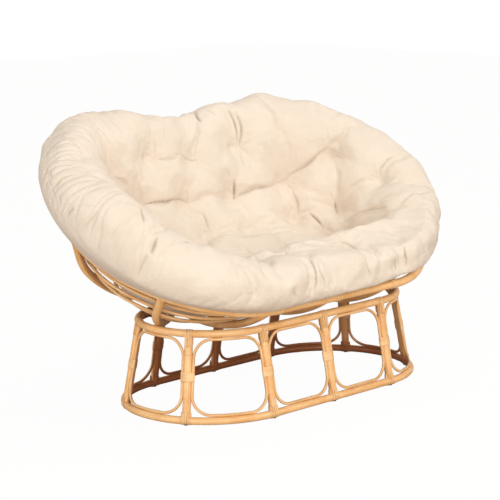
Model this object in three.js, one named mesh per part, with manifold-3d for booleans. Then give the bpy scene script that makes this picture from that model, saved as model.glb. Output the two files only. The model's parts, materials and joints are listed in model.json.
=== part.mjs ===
// Double papasan chair: a stadium-shaped rattan base, a loose capsule-shaped rattan bowl that
// tips in the base's top ring, and a tufted cushion that lies in the bowl.
// Millimetres, +X along the length, -Y to the front, +Z up, floor at Z = 0.
import * as THREE from 'three';
import { mergeVertices } from 'three/addons/utils/BufferGeometryUtils.js';
import Module from 'manifold-3d';

const wasm = await Module();
wasm.setup();

const degree = Math.PI / 180;
const rightAngle = Math.PI / 2;

// Driving dimensions of the base
const poleRadius = 12.5; // both base rings
const uprightRadius = 12;
const ringHalfLength = 286; // half of a ring's straight side
const topRingRadius = 242; // round end, to the middle of the pole
const bottomRingRadius = 293;
const topRingHeight = 290; // middle of the pole above the floor
const endUprightAngle = 30 * degree; // from the length axis, seen from above
const glideRadius = 8;
const glideHeight = 3;
const windowCaneRadius = 5;
const windowCornerRadius = 62;
const wrapHeight = 32; // peel band at mid height of an upright
const wrapThickness = 1.5;
const wrapEase = 0.6; // room between the band and the canes inside it

// Driving dimensions of the bowl, measured from the axis that it tips about
const bowlTilt = 22.8 * degree;
const ribRadius = 14;
const endRibInset = 1.8; // how far inside the rim the end ribs' sphere lies
const endRibTurnRadius = 70; // bend of an end rib where it turns back, seen from above
const endRibFrontAngle = 35 * degree; // from the length axis, at the rim
const endRibBackAngle = 16 * degree;
const seatClearance = 0.9; // between the end ribs and the top ring
const rimRadius = 14.5; // the rim's pole
const rimEndRadius = 442; // round end of the rim, to the middle of the pole
const rimShortfall = 4; // half of a straight side of the rim is this much shorter than the rings'
const rimDrop = 255;
const endDrawIn = 24; // the bowl's ends are drawn in by this much from round, at the rim
const endDrawReach = 334; // eased in over this distance from the ring's straight sides
const endDrawDepth = 130; // and over this depth under the rim
const hoopRadius = 5.5;
const upperHoopShare = 0.8346; // of the rim's angle from straight down, seen from the tipping axis
const pairedHoopShare = 0.7394;
const lowerHoopShare = 0.6096;
const bottomHoopShare = 0.3789;
const hoopBlendAngle = 40 * degree; // the hoops reach the end ribs' sphere inside this angle
const bottomBlendAngle = 25 * degree; // and lie on it this far from straight down
const hoopGap = 0.7; // between the hoops and the ribs that they are tied to

// Driving dimensions of the cushion
const cushionEase = 0.5; // between the cushion and the hoops that carry it
const cushionThickness = 122;
const cushionCrown = 14; // how far the filling swells between the tufts
const tuftDepth = 34;
const crestInset = 44; // top of the edge roll, nearer to the tipping axis than the rim's middle
const innerRollInset = 122;
const outerRollOverhang = 18; // and the roll's outside, farther than the rim's middle
const bulgeOverhang = 38;
const cushionRollAngle = 9 * degree; // half of the roll, seen from the tipping axis
const cushionRestGap = 4.2; // between the rim and the roll that lies over it
const cushionRestAngle = 66 * degree;
const cushionTuckGap = 6.5; // between the tucked-in side and the rim

// Fit and facets
const fitGap = 0.3;
const poleSides = 8;
const caneSides = 6;
const arcSteps = 16; // round end of a ring, rim or hoop
const ribSteps = 22;
const turnSteps = 8;
const legSteps = 9;
const cornerSteps = 4;
const edgeSteps = 3;
const glideSides = 12;
const cushionSideSteps = 9;
const cushionEndSteps = 12;

// Sizes that follow
const poleFlat = poleRadius * Math.cos(Math.PI / poleSides); // middle of a pole to its flat
const bottomRingHeight = glideHeight + fitGap + poleFlat;
const ribFlat = ribRadius * Math.cos(Math.PI / poleSides);
const rimReach = Math.hypot(rimEndRadius, rimDrop); // from the tipping axis to the middle of the rim
const middleRibRadius = rimReach - ribRadius - fitGap; // bend of the front-to-back ribs
const endRibRadius = rimReach - endRibInset;
const rimAngle = Math.acos(rimDrop / rimReach);
const rimHalfLength = ringHalfLength - rimShortfall;
const middleRibSpacing = rimHalfLength;
const seatReach = endRibRadius + ribFlat + seatClearance + poleRadius;
const tiltAxisHeight = topRingHeight + Math.sqrt(seatReach ** 2 - topRingRadius ** 2);

const rattan = new THREE.MeshStandardMaterial({ color: 0xc99762, roughness: 0.5, metalness: 0 });
const cane = new THREE.MeshStandardMaterial({ color: 0xbf8d58, roughness: 0.5, metalness: 0 });
const peel = new THREE.MeshStandardMaterial({ color: 0xd2a671, roughness: 0.6, metalness: 0 });
const rubber = new THREE.MeshStandardMaterial({ color: 0x3a2a20, roughness: 0.8, metalness: 0 });
const cotton = new THREE.MeshStandardMaterial({ color: 0xeeddc4, roughness: 0.95, metalness: 0 });

const up = new THREE.Vector3(0, 0, 1);
const chair = new THREE.Group();
const base = new THREE.Group();
const bowl = new THREE.Group(); // its origin is on the tipping axis, its Z points out of the bowl
bowl.position.z = tiltAxisHeight;
bowl.rotation.x = bowlTilt;
chair.add(base, bowl);

function addPiece(group, name, geometry, material) {
  const mesh = new THREE.Mesh(geometry, material);
  mesh.name = name;
  group.add(mesh);
  return mesh;
}

// Adds a piece of the bowl or its cushion, with the ends drawn in towards the middle of the chair.
function addBowlPiece(name, geometry, material) {
  const corners = geometry.attributes.position;
  for (let i = 0; i < corners.count; i += 1) {
    const x = corners.getX(i);
    const outwards = THREE.MathUtils.smoothstep(Math.abs(x), ringHalfLength, ringHalfLength + endDrawReach);
    const upwards = THREE.MathUtils.smoothstep(corners.getZ(i), -rimDrop - endDrawDepth, -rimDrop);
    corners.setX(i, x - Math.sign(x) * endDrawIn * outwards * upwards);
  }
  return addPiece(bowl, name, geometry, material);
}

// Geometry from points and triangles of point numbers, with triangles that have shrunk to a line left out.
function solidFrom(points, triangles) {
  const positions = new Float32Array(points.length * 3);
  points.forEach((point, i) => point.toArray(positions, i * 3));
  const soup = new THREE.BufferGeometry();
  soup.setAttribute('position', new THREE.BufferAttribute(positions, 3));
  soup.setIndex(triangles);
  const merged = mergeVertices(soup, 1e-3);
  const index = Array.from(merged.index.array);
  const kept = [];
  for (let i = 0; i < index.length; i += 3) {
    const [a, b, c] = index.slice(i, i + 3);
    if (a !== b && b !== c && c !== a) kept.push(a, b, c);
  }
  merged.setIndex(kept);
  merged.computeVertexNormals();
  return merged;
}

// Unit direction in which a path runs at point i, halving the corner there.
function headingAt(path, i, closed) {
  const count = path.length;
  const here = path[i];
  const before = closed || i > 0 ? path[(i + count - 1) % count] : here;
  const after = closed || i < count - 1 ? path[(i + 1) % count] : here;
  const arriving = here.clone().sub(before).normalize();
  const leaving = after.clone().sub(here).normalize();
  return arriving.add(leaving).normalize();
}

// A pole of even radius along a path. facing[i] turns the section so that one flat looks that way.
function pole(path, facing, radius, sides, closed) {
  const points = [];
  path.forEach((middle, i) => {
    const ahead = headingAt(path, i, closed);
    const out = facing[i].clone().addScaledVector(ahead, -facing[i].dot(ahead)).normalize();
    const across = new THREE.Vector3().crossVectors(ahead, out);
    for (let j = 0; j < sides; j += 1) {
      const angle = (2 * Math.PI * (j + 1 / 2)) / sides;
      const point = middle.clone().addScaledVector(out, radius * Math.cos(angle));
      points.push(point.addScaledVector(across, radius * Math.sin(angle)));
    }
  });
  const triangles = [];
  const spans = closed ? path.length : path.length - 1;
  for (let i = 0; i < spans; i += 1) {
    const near = i * sides;
    const far = ((i + 1) % path.length) * sides;
    for (let j = 0; j < sides; j += 1) {
      const next = (j + 1) % sides;
      triangles.push(near + j, near + next, far + next, near + j, far + next, far + j);
    }
  }
  const last = (path.length - 1) * sides;
  for (let j = 1; !closed && j < sides - 1; j += 1) {
    triangles.push(0, j + 1, j, last, last + j, last + j + 1);
  }
  return solidFrom(points, triangles);
}

function toManifold(geometry) {
  const bare = geometry.clone();
  bare.deleteAttribute('normal');
  bare.deleteAttribute('uv');
  const welded = mergeVertices(bare, 1e-4);
  const vertProperties = new Float32Array(welded.attributes.position.array);
  const triVerts = new Uint32Array(welded.index.array);
  return new wasm.Manifold(new wasm.Mesh({ numProp: 3, vertProperties, triVerts }));
}

// The main piece that is left of a body after other bodies are taken away from it.
function cutBy(body, ...others) {
  const rest = others.reduce((left, other) => left.subtract(toManifold(other)), toManifold(body));
  const pieces = rest.decompose().sort((a, b) => b.volume() - a.volume());
  const mesh = pieces[0].getMesh();
  const cut = new THREE.BufferGeometry();
  cut.setAttribute('position', new THREE.BufferAttribute(mesh.vertProperties, 3));
  cut.setIndex(new THREE.BufferAttribute(mesh.triVerts, 1));
  cut.computeVertexNormals();
  return cut;
}

// Closed stadium path: straight sides along X, and ends whose reach from their centre is reach(angle).
function stadiumPath(halfLength, reach, height) {
  const points = [];
  const facing = [];
  for (const end of [1, -1]) {
    for (let i = 0; i <= arcSteps; i += 1) {
      const angle = (Math.PI * i) / arcSteps - rightAngle;
      const out = new THREE.Vector3(end * Math.cos(angle), end * Math.sin(angle), 0);
      points.push(new THREE.Vector3(end * halfLength, 0, height).addScaledVector(out, reach(angle)));
      facing.push(out);
    }
  }
  return { points, facing };
}

function ring(halfLength, reach, height, radius, sides) {
  const { points, facing } = stadiumPath(halfLength, reach, height);
  return pole(points, facing, radius, sides, true);
}

// Base rings
const topRing = (radius) => ring(ringHalfLength, () => topRingRadius, topRingHeight, radius, poleSides);
const bottomRing = (radius) =>
  ring(ringHalfLength, () => bottomRingRadius, bottomRingHeight, radius, poleSides);
addPiece(base, 'base_top_ring', topRing(poleRadius), rattan);
addPiece(base, 'base_bottom_ring', bottomRing(poleRadius), rattan);

// The ten uprights in their order round the base: where each one's ring centre is, and which way it faces.
const places = [
  { name: 'front_left', centre: -ringHalfLength, angle: -rightAngle },
  { name: 'front_middle', centre: 0, angle: -rightAngle },
  { name: 'front_right', centre: ringHalfLength, angle: -rightAngle },
  { name: 'right_front', centre: ringHalfLength, angle: -endUprightAngle },
  { name: 'right_back', centre: ringHalfLength, angle: endUprightAngle },
  { name: 'back_right', centre: ringHalfLength, angle: rightAngle },
  { name: 'back_middle', centre: 0, angle: rightAngle },
  { name: 'back_left', centre: -ringHalfLength, angle: rightAngle },
  { name: 'left_back', centre: -ringHalfLength, angle: Math.PI - endUprightAngle },
  { name: 'left_front', centre: -ringHalfLength, angle: Math.PI + endUprightAngle },
  { name: 'front_left', centre: -ringHalfLength, angle: Math.PI + rightAngle },
];

// Point on the base's sloping wall: rise is 0 at the bottom ring's middle and 1 at the top ring's.
function wallPoint(centre, angle, rise) {
  const radius = THREE.MathUtils.lerp(bottomRingRadius, topRingRadius, rise);
  const height = THREE.MathUtils.lerp(bottomRingHeight, topRingHeight, rise);
  return new THREE.Vector3(centre + radius * Math.cos(angle), radius * Math.sin(angle), height);
}

// Direction square to the sloping wall, pointing out.
function wallOutward(angle) {
  const splay = bottomRingRadius - topRingRadius;
  const rise = topRingHeight - bottomRingHeight;
  return new THREE.Vector3(rise * Math.cos(angle), rise * Math.sin(angle), splay).normalize();
}

function upright(place) {
  const ends = [0, 1].map((rise) => wallPoint(place.centre, place.angle, rise));
  const facing = ends.map(() => wallOutward(place.angle));
  const body = pole(ends, facing, uprightRadius, poleSides, false);
  return cutBy(body, topRing(poleRadius + fitGap), bottomRing(poleRadius + fitGap));
}

// Thin bent cane round one bay of the base, touching both uprights and both rings.
function windowHoop(from, to) {
  const wallLength = Math.hypot(bottomRingRadius - topRingRadius, topRingHeight - bottomRingHeight);
  const ringInset = poleRadius + windowCaneRadius + fitGap;
  const sideInset = uprightRadius + windowCaneRadius + fitGap;
  const halfHeight = wallLength / 2 - ringInset;
  // Half of the bay's width at a rise, measured round the wall
  const halfBay = (rise) => {
    const radius = THREE.MathUtils.lerp(bottomRingRadius, topRingRadius, rise);
    return (Math.abs(to.centre - from.centre) + radius * (to.angle - from.angle)) / 2;
  };
  const points = [];
  const facing = [];
  const addPoint = (across, along) => {
    // across runs from -1 to 1 between the uprights, along in mm from the wall's middle
    const rise = 1 / 2 + along / wallLength;
    const half = halfBay(rise);
    const share = (1 + (across * (half - sideInset)) / half) / 2;
    const centre = THREE.MathUtils.lerp(from.centre, to.centre, share);
    const angle = THREE.MathUtils.lerp(from.angle, to.angle, share);
    points.push(wallPoint(centre, angle, rise));
    facing.push(wallOutward(angle));
  };
  const halfWidth = halfBay(1 / 2) - sideInset;
  const corners = [[1, -1, -rightAngle], [1, 1, 0], [-1, 1, rightAngle], [-1, -1, Math.PI]];
  for (const [side, level, start] of corners) {
    for (let i = 0; i <= cornerSteps; i += 1) {
      const angle = start + (rightAngle * i) / cornerSteps;
      const across = side * (halfWidth - windowCornerRadius) + windowCornerRadius * Math.cos(angle);
      const along = level * (halfHeight - windowCornerRadius) + windowCornerRadius * Math.sin(angle);
      addPoint(across / halfWidth, along);
    }
    // The level edges follow the bend of the wall
    for (let i = 1; side === level && i < edgeSteps; i += 1) {
      const across = side * (halfWidth - windowCornerRadius) * (1 - (2 * i) / edgeSteps);
      addPoint(across / halfWidth, level * halfHeight);
    }
  }
  return pole(points, facing, windowCaneRadius, caneSides, true);
}

// Outline round an upright and the two canes beside it, at a distance from them.
function bandOutline(shape, distance) {
  const spacing = uprightRadius + windowCaneRadius + fitGap;
  const lean = Math.asin((uprightRadius - windowCaneRadius) / spacing);
  const flank = rightAngle - lean;
  const arcs = [
    { x: spacing, radius: windowCaneRadius, start: -flank, turn: 2 * flank },
    { x: 0, radius: uprightRadius, start: flank, turn: 2 * lean },
    { x: -spacing, radius: windowCaneRadius, start: rightAngle + lean, turn: 2 * flank },
    { x: 0, radius: uprightRadius, start: -rightAngle - lean, turn: 2 * lean },
  ];
  const points = [];
  for (const { x, radius, start, turn } of arcs) {
    for (let i = 0; i <= cornerSteps; i += 1) {
      const angle = start + (turn * i) / cornerSteps;
      const reach = radius + distance;
      points.push(new THREE.Vector2(x + reach * Math.cos(angle), reach * Math.sin(angle)));
    }
  }
  return shape.setFromPoints(points);
}

// Peel band that ties an upright to the window canes beside it.
function wrapBand() {
  const outline = bandOutline(new THREE.Shape(), wrapEase + wrapThickness);
  outline.holes.push(bandOutline(new THREE.Path(), wrapEase));
  const band = new THREE.ExtrudeGeometry(outline, { depth: wrapHeight, bevelEnabled: false, steps: 1 });
  return band.translate(0, 0, -wrapHeight / 2);
}

places.slice(0, -1).forEach((place, i) => {
  const next = places[i + 1];
  addPiece(base, `upright_${place.name}`, upright(place), rattan);
  addPiece(base, `window_hoop_${place.name}_to_${next.name}`, windowHoop(place, next), cane);

  const wrap = addPiece(base, `wrap_${place.name}`, wrapBand(), peel);
  wrap.position.copy(wallPoint(place.centre, place.angle, 1 / 2));
  const along = wallPoint(place.centre, place.angle, 1).sub(wrap.position).normalize();
  const outward = wallOutward(place.angle);
  wrap.quaternion.setFromRotationMatrix(
    new THREE.Matrix4().makeBasis(new THREE.Vector3().crossVectors(outward, along), outward, along),
  );

  const glide = new THREE.CylinderGeometry(glideRadius, glideRadius, glideHeight, glideSides);
  const foot = addPiece(base, `foot_glide_${place.name}`, glide.rotateX(rightAngle), rubber);
  foot.position.copy(wallPoint(place.centre, place.angle, 0)).setZ(glideHeight / 2);
});

// Bowl: rim, ribs and hoops. drop is measured down from the tipping axis, square to the rim.
const rim = (radius) => ring(rimHalfLength, () => rimEndRadius, -rimDrop, radius, poleSides);
addBowlPiece('bowl_rim', rim(rimRadius), rattan);

// Front-to-back rib: a bent pole from rim to rim under the bowl, coped round the rim at both ends.
function middleRib(x) {
  const limit = Math.acos(rimDrop / middleRibRadius);
  const path = [];
  const facing = [];
  for (let i = 0; i <= ribSteps; i += 1) {
    const angle = THREE.MathUtils.lerp(-limit, limit, i / ribSteps);
    const out = new THREE.Vector3(0, Math.sin(angle), -Math.cos(angle));
    path.push(new THREE.Vector3(x, 0, 0).addScaledVector(out, middleRibRadius));
    facing.push(out);
  }
  return cutBy(pole(path, facing, ribRadius, poleSides, false), rim(rimRadius + fitGap));
}

// End rib: one pole that runs in from the rim, turns beside the middle rib and runs back out to the rim.
function endRib(end) {
  const turnCentre = middleRibSpacing - ringHalfLength + 2 * ribRadius + fitGap + endRibTurnRadius;
  const reach = Math.sqrt(endRibRadius ** 2 - rimDrop ** 2);
  const foot = (angle) => new THREE.Vector2(reach * Math.cos(angle), reach * Math.sin(angle));
  const start = foot(-endRibFrontAngle);
  const finish = foot(endRibBackAngle);
  // Where the run from a point on the rim meets the turn, as an angle round the turn's centre
  const touch = (point, side) => {
    const away = point.clone().sub(new THREE.Vector2(turnCentre, 0));
    return side * (Math.abs(Math.atan2(away.y, away.x)) + Math.acos(endRibTurnRadius / away.length()));
  };
  const from = 2 * Math.PI + touch(start, -1);
  const to = touch(finish, 1);
  const plan = [];
  for (let i = 0; i <= turnSteps; i += 1) {
    const angle = THREE.MathUtils.lerp(from, to, i / turnSteps);
    const point = new THREE.Vector2(Math.cos(angle), Math.sin(angle)).multiplyScalar(endRibTurnRadius);
    plan.push(point.add(new THREE.Vector2(turnCentre, 0)));
  }
  const first = plan[0].clone();
  const last = plan[plan.length - 1].clone();
  for (let i = 1; i <= legSteps; i += 1) {
    plan.unshift(first.clone().lerp(start, i / legSteps));
    plan.push(last.clone().lerp(finish, i / legSteps));
  }
  const facing = plan.map(({ x, y }) => {
    const drop = Math.sqrt(endRibRadius ** 2 - x ** 2 - y ** 2);
    return new THREE.Vector3(end * x, y, -drop).normalize();
  });
  const centre = new THREE.Vector3(end * ringHalfLength, 0, 0);
  const path = facing.map((out) => centre.clone().addScaledVector(out, endRibRadius));
  return cutBy(pole(path, facing, ribRadius, poleSides, false), rim(rimRadius + fitGap));
}

addBowlPiece('bowl_rib_left', middleRib(-middleRibSpacing), rattan);
addBowlPiece('bowl_rib_middle', middleRib(0), rattan);
addBowlPiece('bowl_rib_right', middleRib(middleRibSpacing), rattan);
addBowlPiece('bowl_end_rib_left', endRib(-1), rattan);
addBowlPiece('bowl_end_rib_right', endRib(1), rattan);

// 0 at the bowl's sides, 1 where its end ribs are, for an angle from the length axis.
function endShare(angle) {
  const spread = (rightAngle - Math.abs(angle)) / (rightAngle - hoopBlendAngle);
  return THREE.MathUtils.smoothstep(spread, 0, 1);
}

// Radius about the tipping axis of something that lies inside the ribs, by a distance from their
// middle. turn is its angle from straight down: under the seat the ends have the middle ribs' radius.
function insideRibs(angle, turn, distance) {
  const share = endShare(angle) * THREE.MathUtils.smoothstep(turn, 0, bottomBlendAngle);
  return THREE.MathUtils.lerp(middleRibRadius, endRibRadius, share) - distance;
}

// Thin cane hoop round the inside of the ribs, at a share of the rim's angle from straight down.
function bowlHoop(share) {
  const inset = ribFlat + hoopGap + hoopRadius;
  const drop = (middleRibRadius - inset) * Math.cos(rimAngle * share);
  const reach = (angle) => Math.sqrt(insideRibs(angle, rightAngle, inset) ** 2 - drop ** 2);
  return ring(ringHalfLength, reach, -drop, hoopRadius, caneSides);
}

addBowlPiece('bowl_hoop_upper', bowlHoop(upperHoopShare), cane);
addBowlPiece('bowl_hoop_paired', bowlHoop(pairedHoopShare), cane);
addBowlPiece('bowl_hoop_lower', bowlHoop(lowerHoopShare), cane);
addBowlPiece('bowl_hoop_bottom', bowlHoop(bottomHoopShare), cane);

// The cushion's edge at places round it. way counts round the cushion: 0 to 1 along the front from
// left to right, to 2 round the right end, to 3 along the back, to 4 round the left end. crest is
// the angle of the roll's top from straight down, seen from the tipping axis.
const edgePlaces = [
  { way: 0, crest: 77, bulgeShare: 0.98 },
  { way: 0.5, crest: 74, bulgeShare: 0.97 },
  { way: 1, crest: 73, bulgeShare: 0.94 },
  { way: 1.25, crest: 76, bulgeShare: 0.93 },
  { way: 1.4, crest: 80, bulgeShare: 1 },
  { way: 1.5, crest: 86, bulgeShare: 1.035 },
  { way: 1.62, crest: 92, bulgeShare: 1.045 },
  { way: 1.78, crest: 93, bulgeShare: 1.025 },
  { way: 2, crest: 89, bulgeShare: 0.99 },
  { way: 2.25, crest: 89, bulgeShare: 0.995 },
  { way: 2.5, crest: 83, bulgeShare: 0.98 },
  { way: 2.75, crest: 88, bulgeShare: 0.98 },
  { way: 3, crest: 91, bulgeShare: 1 },
  { way: 3.25, crest: 95, bulgeShare: 1.045 },
  { way: 3.5, crest: 92, bulgeShare: 1.08 },
  { way: 3.75, crest: 82, bulgeShare: 1.07 },
  { way: 4, crest: 77, bulgeShare: 0.98 },
];

// Crest and bulge of the cushion's edge, eased between the places on either side.
function edgeAt(way) {
  const k = edgePlaces.findIndex((place) => place.way >= way && place.way > 0);
  const [place, next] = [edgePlaces[k - 1], edgePlaces[k]];
  const share = THREE.MathUtils.smoothstep(way, place.way, next.way);
  return {
    crest: THREE.MathUtils.lerp(place.crest, next.crest, share) * degree,
    bulgeShare: THREE.MathUtils.lerp(place.bulgeShare, next.bulgeShare, share),
  };
}

// Rows of sewn tufts on the seat, by their angle from straight down, and the stations that carry one.
const tuftRows = [
  { angle: 66, sideStations: [2, 5, 8], endStations: [1, 3, 5, 7, 9, 11] },
  { angle: 45, sideStations: [1, 4, 7], endStations: [0, 3, 6, 9, 12] },
  { angle: 24, sideStations: [3, 6], endStations: [0, 4, 8, 12] },
  { angle: 0, sideStations: [2, 5, 8], endStations: [] },
];
const seatAngles = [66, 60, 54, 45, 38, 31, 24, 16, 8, 0];
const underAngles = [0, 16, 32, 46, 56];

// Closed section of the cushion at one station, from the middle of its underside to the middle of the seat.
function cushionSection({ centre, angle, way, index, isEnd }) {
  const { crest, bulgeShare } = edgeAt(way);
  const fromAxis = isEnd ? angle - (centre > 0 ? 0 : Math.PI) : rightAngle;
  const inset = ribFlat + hoopGap + 2 * hoopRadius + cushionEase;
  const under = (turn) => insideRibs(fromAxis, turn, inset);
  const tuckReach = rimReach - rimRadius - cushionTuckGap;
  const tuckAngle = rimAngle + cushionTuckGap / rimReach;
  const wide = THREE.MathUtils.lerp(cushionRestAngle, crest, 1 / 2);
  const rows = underAngles.map((turn) => ({ radius: under(turn * degree), turn: turn * degree }));
  rows.push({ radius: Math.min(tuckReach, under(tuckAngle) + cushionTuckGap), turn: tuckAngle });
  rows.push({ radius: rimReach + rimRadius + cushionRestGap, turn: cushionRestAngle });
  rows.push({ radius: (rimReach + bulgeOverhang) * bulgeShare, turn: wide });
  const outerRoll = (rimReach + outerRollOverhang) * bulgeShare;
  rows.push({ radius: outerRoll, turn: crest - cushionRollAngle / 2 });
  rows.push({ radius: rimReach - crestInset, turn: crest });
  rows.push({ radius: rimReach - innerRollInset, turn: crest - cushionRollAngle });
  seatAngles.forEach((turn) => {
    const row = tuftRows.find((tufts) => tufts.angle === turn);
    const stations = row ? row[isEnd ? 'endStations' : 'sideStations'] : [];
    const rise = stations.includes(index) ? tuftDepth : -cushionCrown;
    rows.push({ radius: under(turn * degree) - cushionThickness + rise, turn: turn * degree });
  });
  const out = new THREE.Vector3(Math.cos(angle), Math.sin(angle), 0);
  return rows.map(({ radius, turn }) =>
    new THREE.Vector3(centre * ringHalfLength, 0, 0)
      .addScaledVector(out, radius * Math.sin(turn))
      .addScaledVector(up, -radius * Math.cos(turn)));
}

// Stations round the cushion: along the front, round the right end, along the back, round the left end.
function cushionStations() {
  const stations = [];
  for (const end of [1, -1]) {
    const start = end > 0 ? -rightAngle : rightAngle;
    const wayStart = end > 0 ? 0 : 2;
    for (let i = 1; i < cushionSideSteps; i += 1) {
      const share = i / cushionSideSteps;
      const index = end > 0 ? i : cushionSideSteps - i;
      const centre = end * (2 * share - 1);
      stations.push({ centre, angle: start, way: wayStart + share, index, isEnd: false });
    }
    for (let i = 0; i <= cushionEndSteps; i += 1) {
      const share = i / cushionEndSteps;
      const angle = start + Math.PI * share;
      stations.push({ centre: end, angle, way: wayStart + 1 + share, index: i, isEnd: true });
    }
  }
  return stations;
}

function cushionBody() {
  const sections = cushionStations().map(cushionSection);
  const rows = sections[0].length;
  const points = sections.flat();
  const triangles = [];
  for (let i = 0; i < sections.length; i += 1) {
    const here = i * rows;
    const next = ((i + 1) % sections.length) * rows;
    for (let j = 0; j < rows - 1; j += 1) {
      triangles.push(here + j, next + j, next + j + 1, here + j, next + j + 1, here + j + 1);
    }
  }
  return solidFrom(points, triangles);
}

addBowlPiece('cushion', cushionBody(), cotton);

// The origin is under the middle of the chair's outer box, on the floor.
chair.updateMatrixWorld(true);
const box = new THREE.Box3().setFromObject(chair, true);
const middle = box.getCenter(new THREE.Vector3());
chair.position.set(-middle.x, -middle.y, -box.min.z);

export default chair;
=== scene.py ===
# %% [markdown]
# A double papasan chair: a rattan base, a loose rattan bowl that tips on it, and a thick tufted
# cushion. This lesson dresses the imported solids, which give every size and place. The solids of
# poles have eight flat sides, so each pole is made again round, along the same path.

import json
import math

import bmesh
import bpy
import numpy as np
from mathutils import Matrix, Vector, bvhtree, kdtree, noise


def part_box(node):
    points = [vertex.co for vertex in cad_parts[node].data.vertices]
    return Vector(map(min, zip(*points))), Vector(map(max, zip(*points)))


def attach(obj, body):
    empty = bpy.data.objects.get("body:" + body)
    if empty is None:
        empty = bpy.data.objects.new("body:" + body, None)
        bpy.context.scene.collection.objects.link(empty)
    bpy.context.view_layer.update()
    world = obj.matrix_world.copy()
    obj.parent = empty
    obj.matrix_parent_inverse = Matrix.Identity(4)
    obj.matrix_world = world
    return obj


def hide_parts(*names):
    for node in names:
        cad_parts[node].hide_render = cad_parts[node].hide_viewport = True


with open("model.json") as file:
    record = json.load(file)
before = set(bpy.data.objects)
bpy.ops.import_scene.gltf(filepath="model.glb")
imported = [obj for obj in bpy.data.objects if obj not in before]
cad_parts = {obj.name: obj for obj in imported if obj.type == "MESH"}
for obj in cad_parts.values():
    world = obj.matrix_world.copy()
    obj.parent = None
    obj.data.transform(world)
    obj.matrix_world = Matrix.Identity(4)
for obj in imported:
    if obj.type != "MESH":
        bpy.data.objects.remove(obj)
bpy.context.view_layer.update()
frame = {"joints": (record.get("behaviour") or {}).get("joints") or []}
mm = 0.001

# %% [markdown]
# Two places tie this script to the solids: the tipping axis, which the joint gives, and the middle
# of the chair's length, where the middle rib is. Sizes below are in millimetres from there.

# %% Shared places and sizes
tipping_axis = Vector(next(j["pos_m"] for j in frame["joints"] if j["name"] == "bowl_tilt"))
middle_x = sum(corner.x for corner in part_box("bowl_rib_middle")) / 2
tilt = math.radians(22.8)
ring_half_length = 286
rim_half_length = 282
rim_end_radius = 442
rim_drop = 255
rim_reach = math.hypot(rim_end_radius, rim_drop)
middle_rib_radius = rim_reach - 14.3
end_rib_radius = rim_reach - 1.8
drawn_in = 24
drawn_in_from_middle = 620
drawn_in_height = 130
print("tipping axis", [round(v, 4) for v in tipping_axis], "middle", round(middle_x, 4))


def base_point(x, y, z):
    """Point of the base in metres: x and y from the middle of the rings, z from the floor."""
    return Vector((middle_x + x * mm, tipping_axis.y + y * mm, z * mm))


def smooth_step(value, low, high):
    """0 up to low and 1 from high, eased between."""
    share = np.clip((value - low) / (high - low), 0, 1)
    return share * share * (3 - 2 * share)


def bowl_point(x, y, z):
    """Point of the tipped bowl in metres: z runs out of the bowl, from the tipping axis.

    The bowl's ends are drawn in a little from round, most of all at the rim.
    """
    near_end = smooth_step(abs(x), ring_half_length, drawn_in_from_middle)
    x -= math.copysign(drawn_in, x) * near_end * smooth_step(z, -rim_drop - drawn_in_height, -rim_drop)
    along = y * math.cos(tilt) - z * math.sin(tilt)
    rise = y * math.sin(tilt) + z * math.cos(tilt)
    return Vector((middle_x + x * mm, tipping_axis.y + along * mm, tipping_axis.z + rise * mm))


# %% [markdown]
# The camera stands to the left of the front, a little above the seat, with a long lens, as the
# photograph was taken. It is placed by its aim point, two angles, a distance and a small roll.

# %% Camera
camera_azimuth = math.radians(-44.51)
camera_elevation = math.radians(10.52)
camera_roll = math.radians(-0.65)
camera_distance = 6193.9 * mm

back = Vector((
    math.sin(camera_azimuth) * math.cos(camera_elevation),
    -math.cos(camera_azimuth) * math.cos(camera_elevation),
    math.sin(camera_elevation),
))
level_right = Vector((math.cos(camera_azimuth), math.sin(camera_azimuth), 0))
level_up = back.cross(level_right)
right = level_right * math.cos(camera_roll) + level_up * math.sin(camera_roll)
up = level_up * math.cos(camera_roll) - level_right * math.sin(camera_roll)

camera = bpy.data.objects.new("camera", bpy.data.cameras.new("camera"))
bpy.context.scene.collection.objects.link(camera)
camera.data.lens = 131.66
camera.data.sensor_width = 36
camera.data.clip_end = 60
turn = Matrix((right, up, back)).transposed().to_4x4()
camera.matrix_world = Matrix.Translation(base_point(-98.6, 0, 492.9) + back * camera_distance) @ turn
bpy.context.scene.camera = camera
bpy.context.scene.view_settings.view_transform = "Standard"
print("camera at", [round(v, 2) for v in camera.matrix_world.translation])

# %% [markdown]
# Node trees are easier to read as sums than as boxes and wires. Number wraps one socket, so that
# an expression such as 1 - mask * 0.4 adds the Math nodes by itself. Sketch wraps a whole tree
# and adds every other kind of node with one method.


# %% Node helpers
class Number:
    """A number that a node tree works out."""

    def __init__(self, sketch, socket):
        self.sketch = sketch
        self.socket = socket

    def math(self, operation, *values):
        node = self.sketch.add("ShaderNodeMath", {"operation": operation}, dict(enumerate(values)))
        return Number(self.sketch, node.outputs[0])

    def __add__(self, other):
        return self.math("ADD", self, other)

    def __sub__(self, other):
        return self.math("SUBTRACT", self, other)

    def __mul__(self, other):
        return self.math("MULTIPLY", self, other)

    def __truediv__(self, other):
        return self.math("DIVIDE", self, other)

    def __rsub__(self, other):
        return self.math("SUBTRACT", other, self)

    def __rtruediv__(self, other):
        return self.math("DIVIDE", other, self)

    __radd__ = __add__
    __rmul__ = __mul__

    def near_zero(self, width):
        """1 where this number is 0, falling to nothing a few widths away."""
        scaled = self / width
        return self.math("EXPONENT", scaled * scaled * -1)

    def step(self, low, high):
        """0 up to low and 1 from high, eased between."""
        settings = {"interpolation_type": "SMOOTHSTEP"}
        return self.sketch.number("ShaderNodeMapRange", settings, {0: self, 1: low, 2: high})


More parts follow.
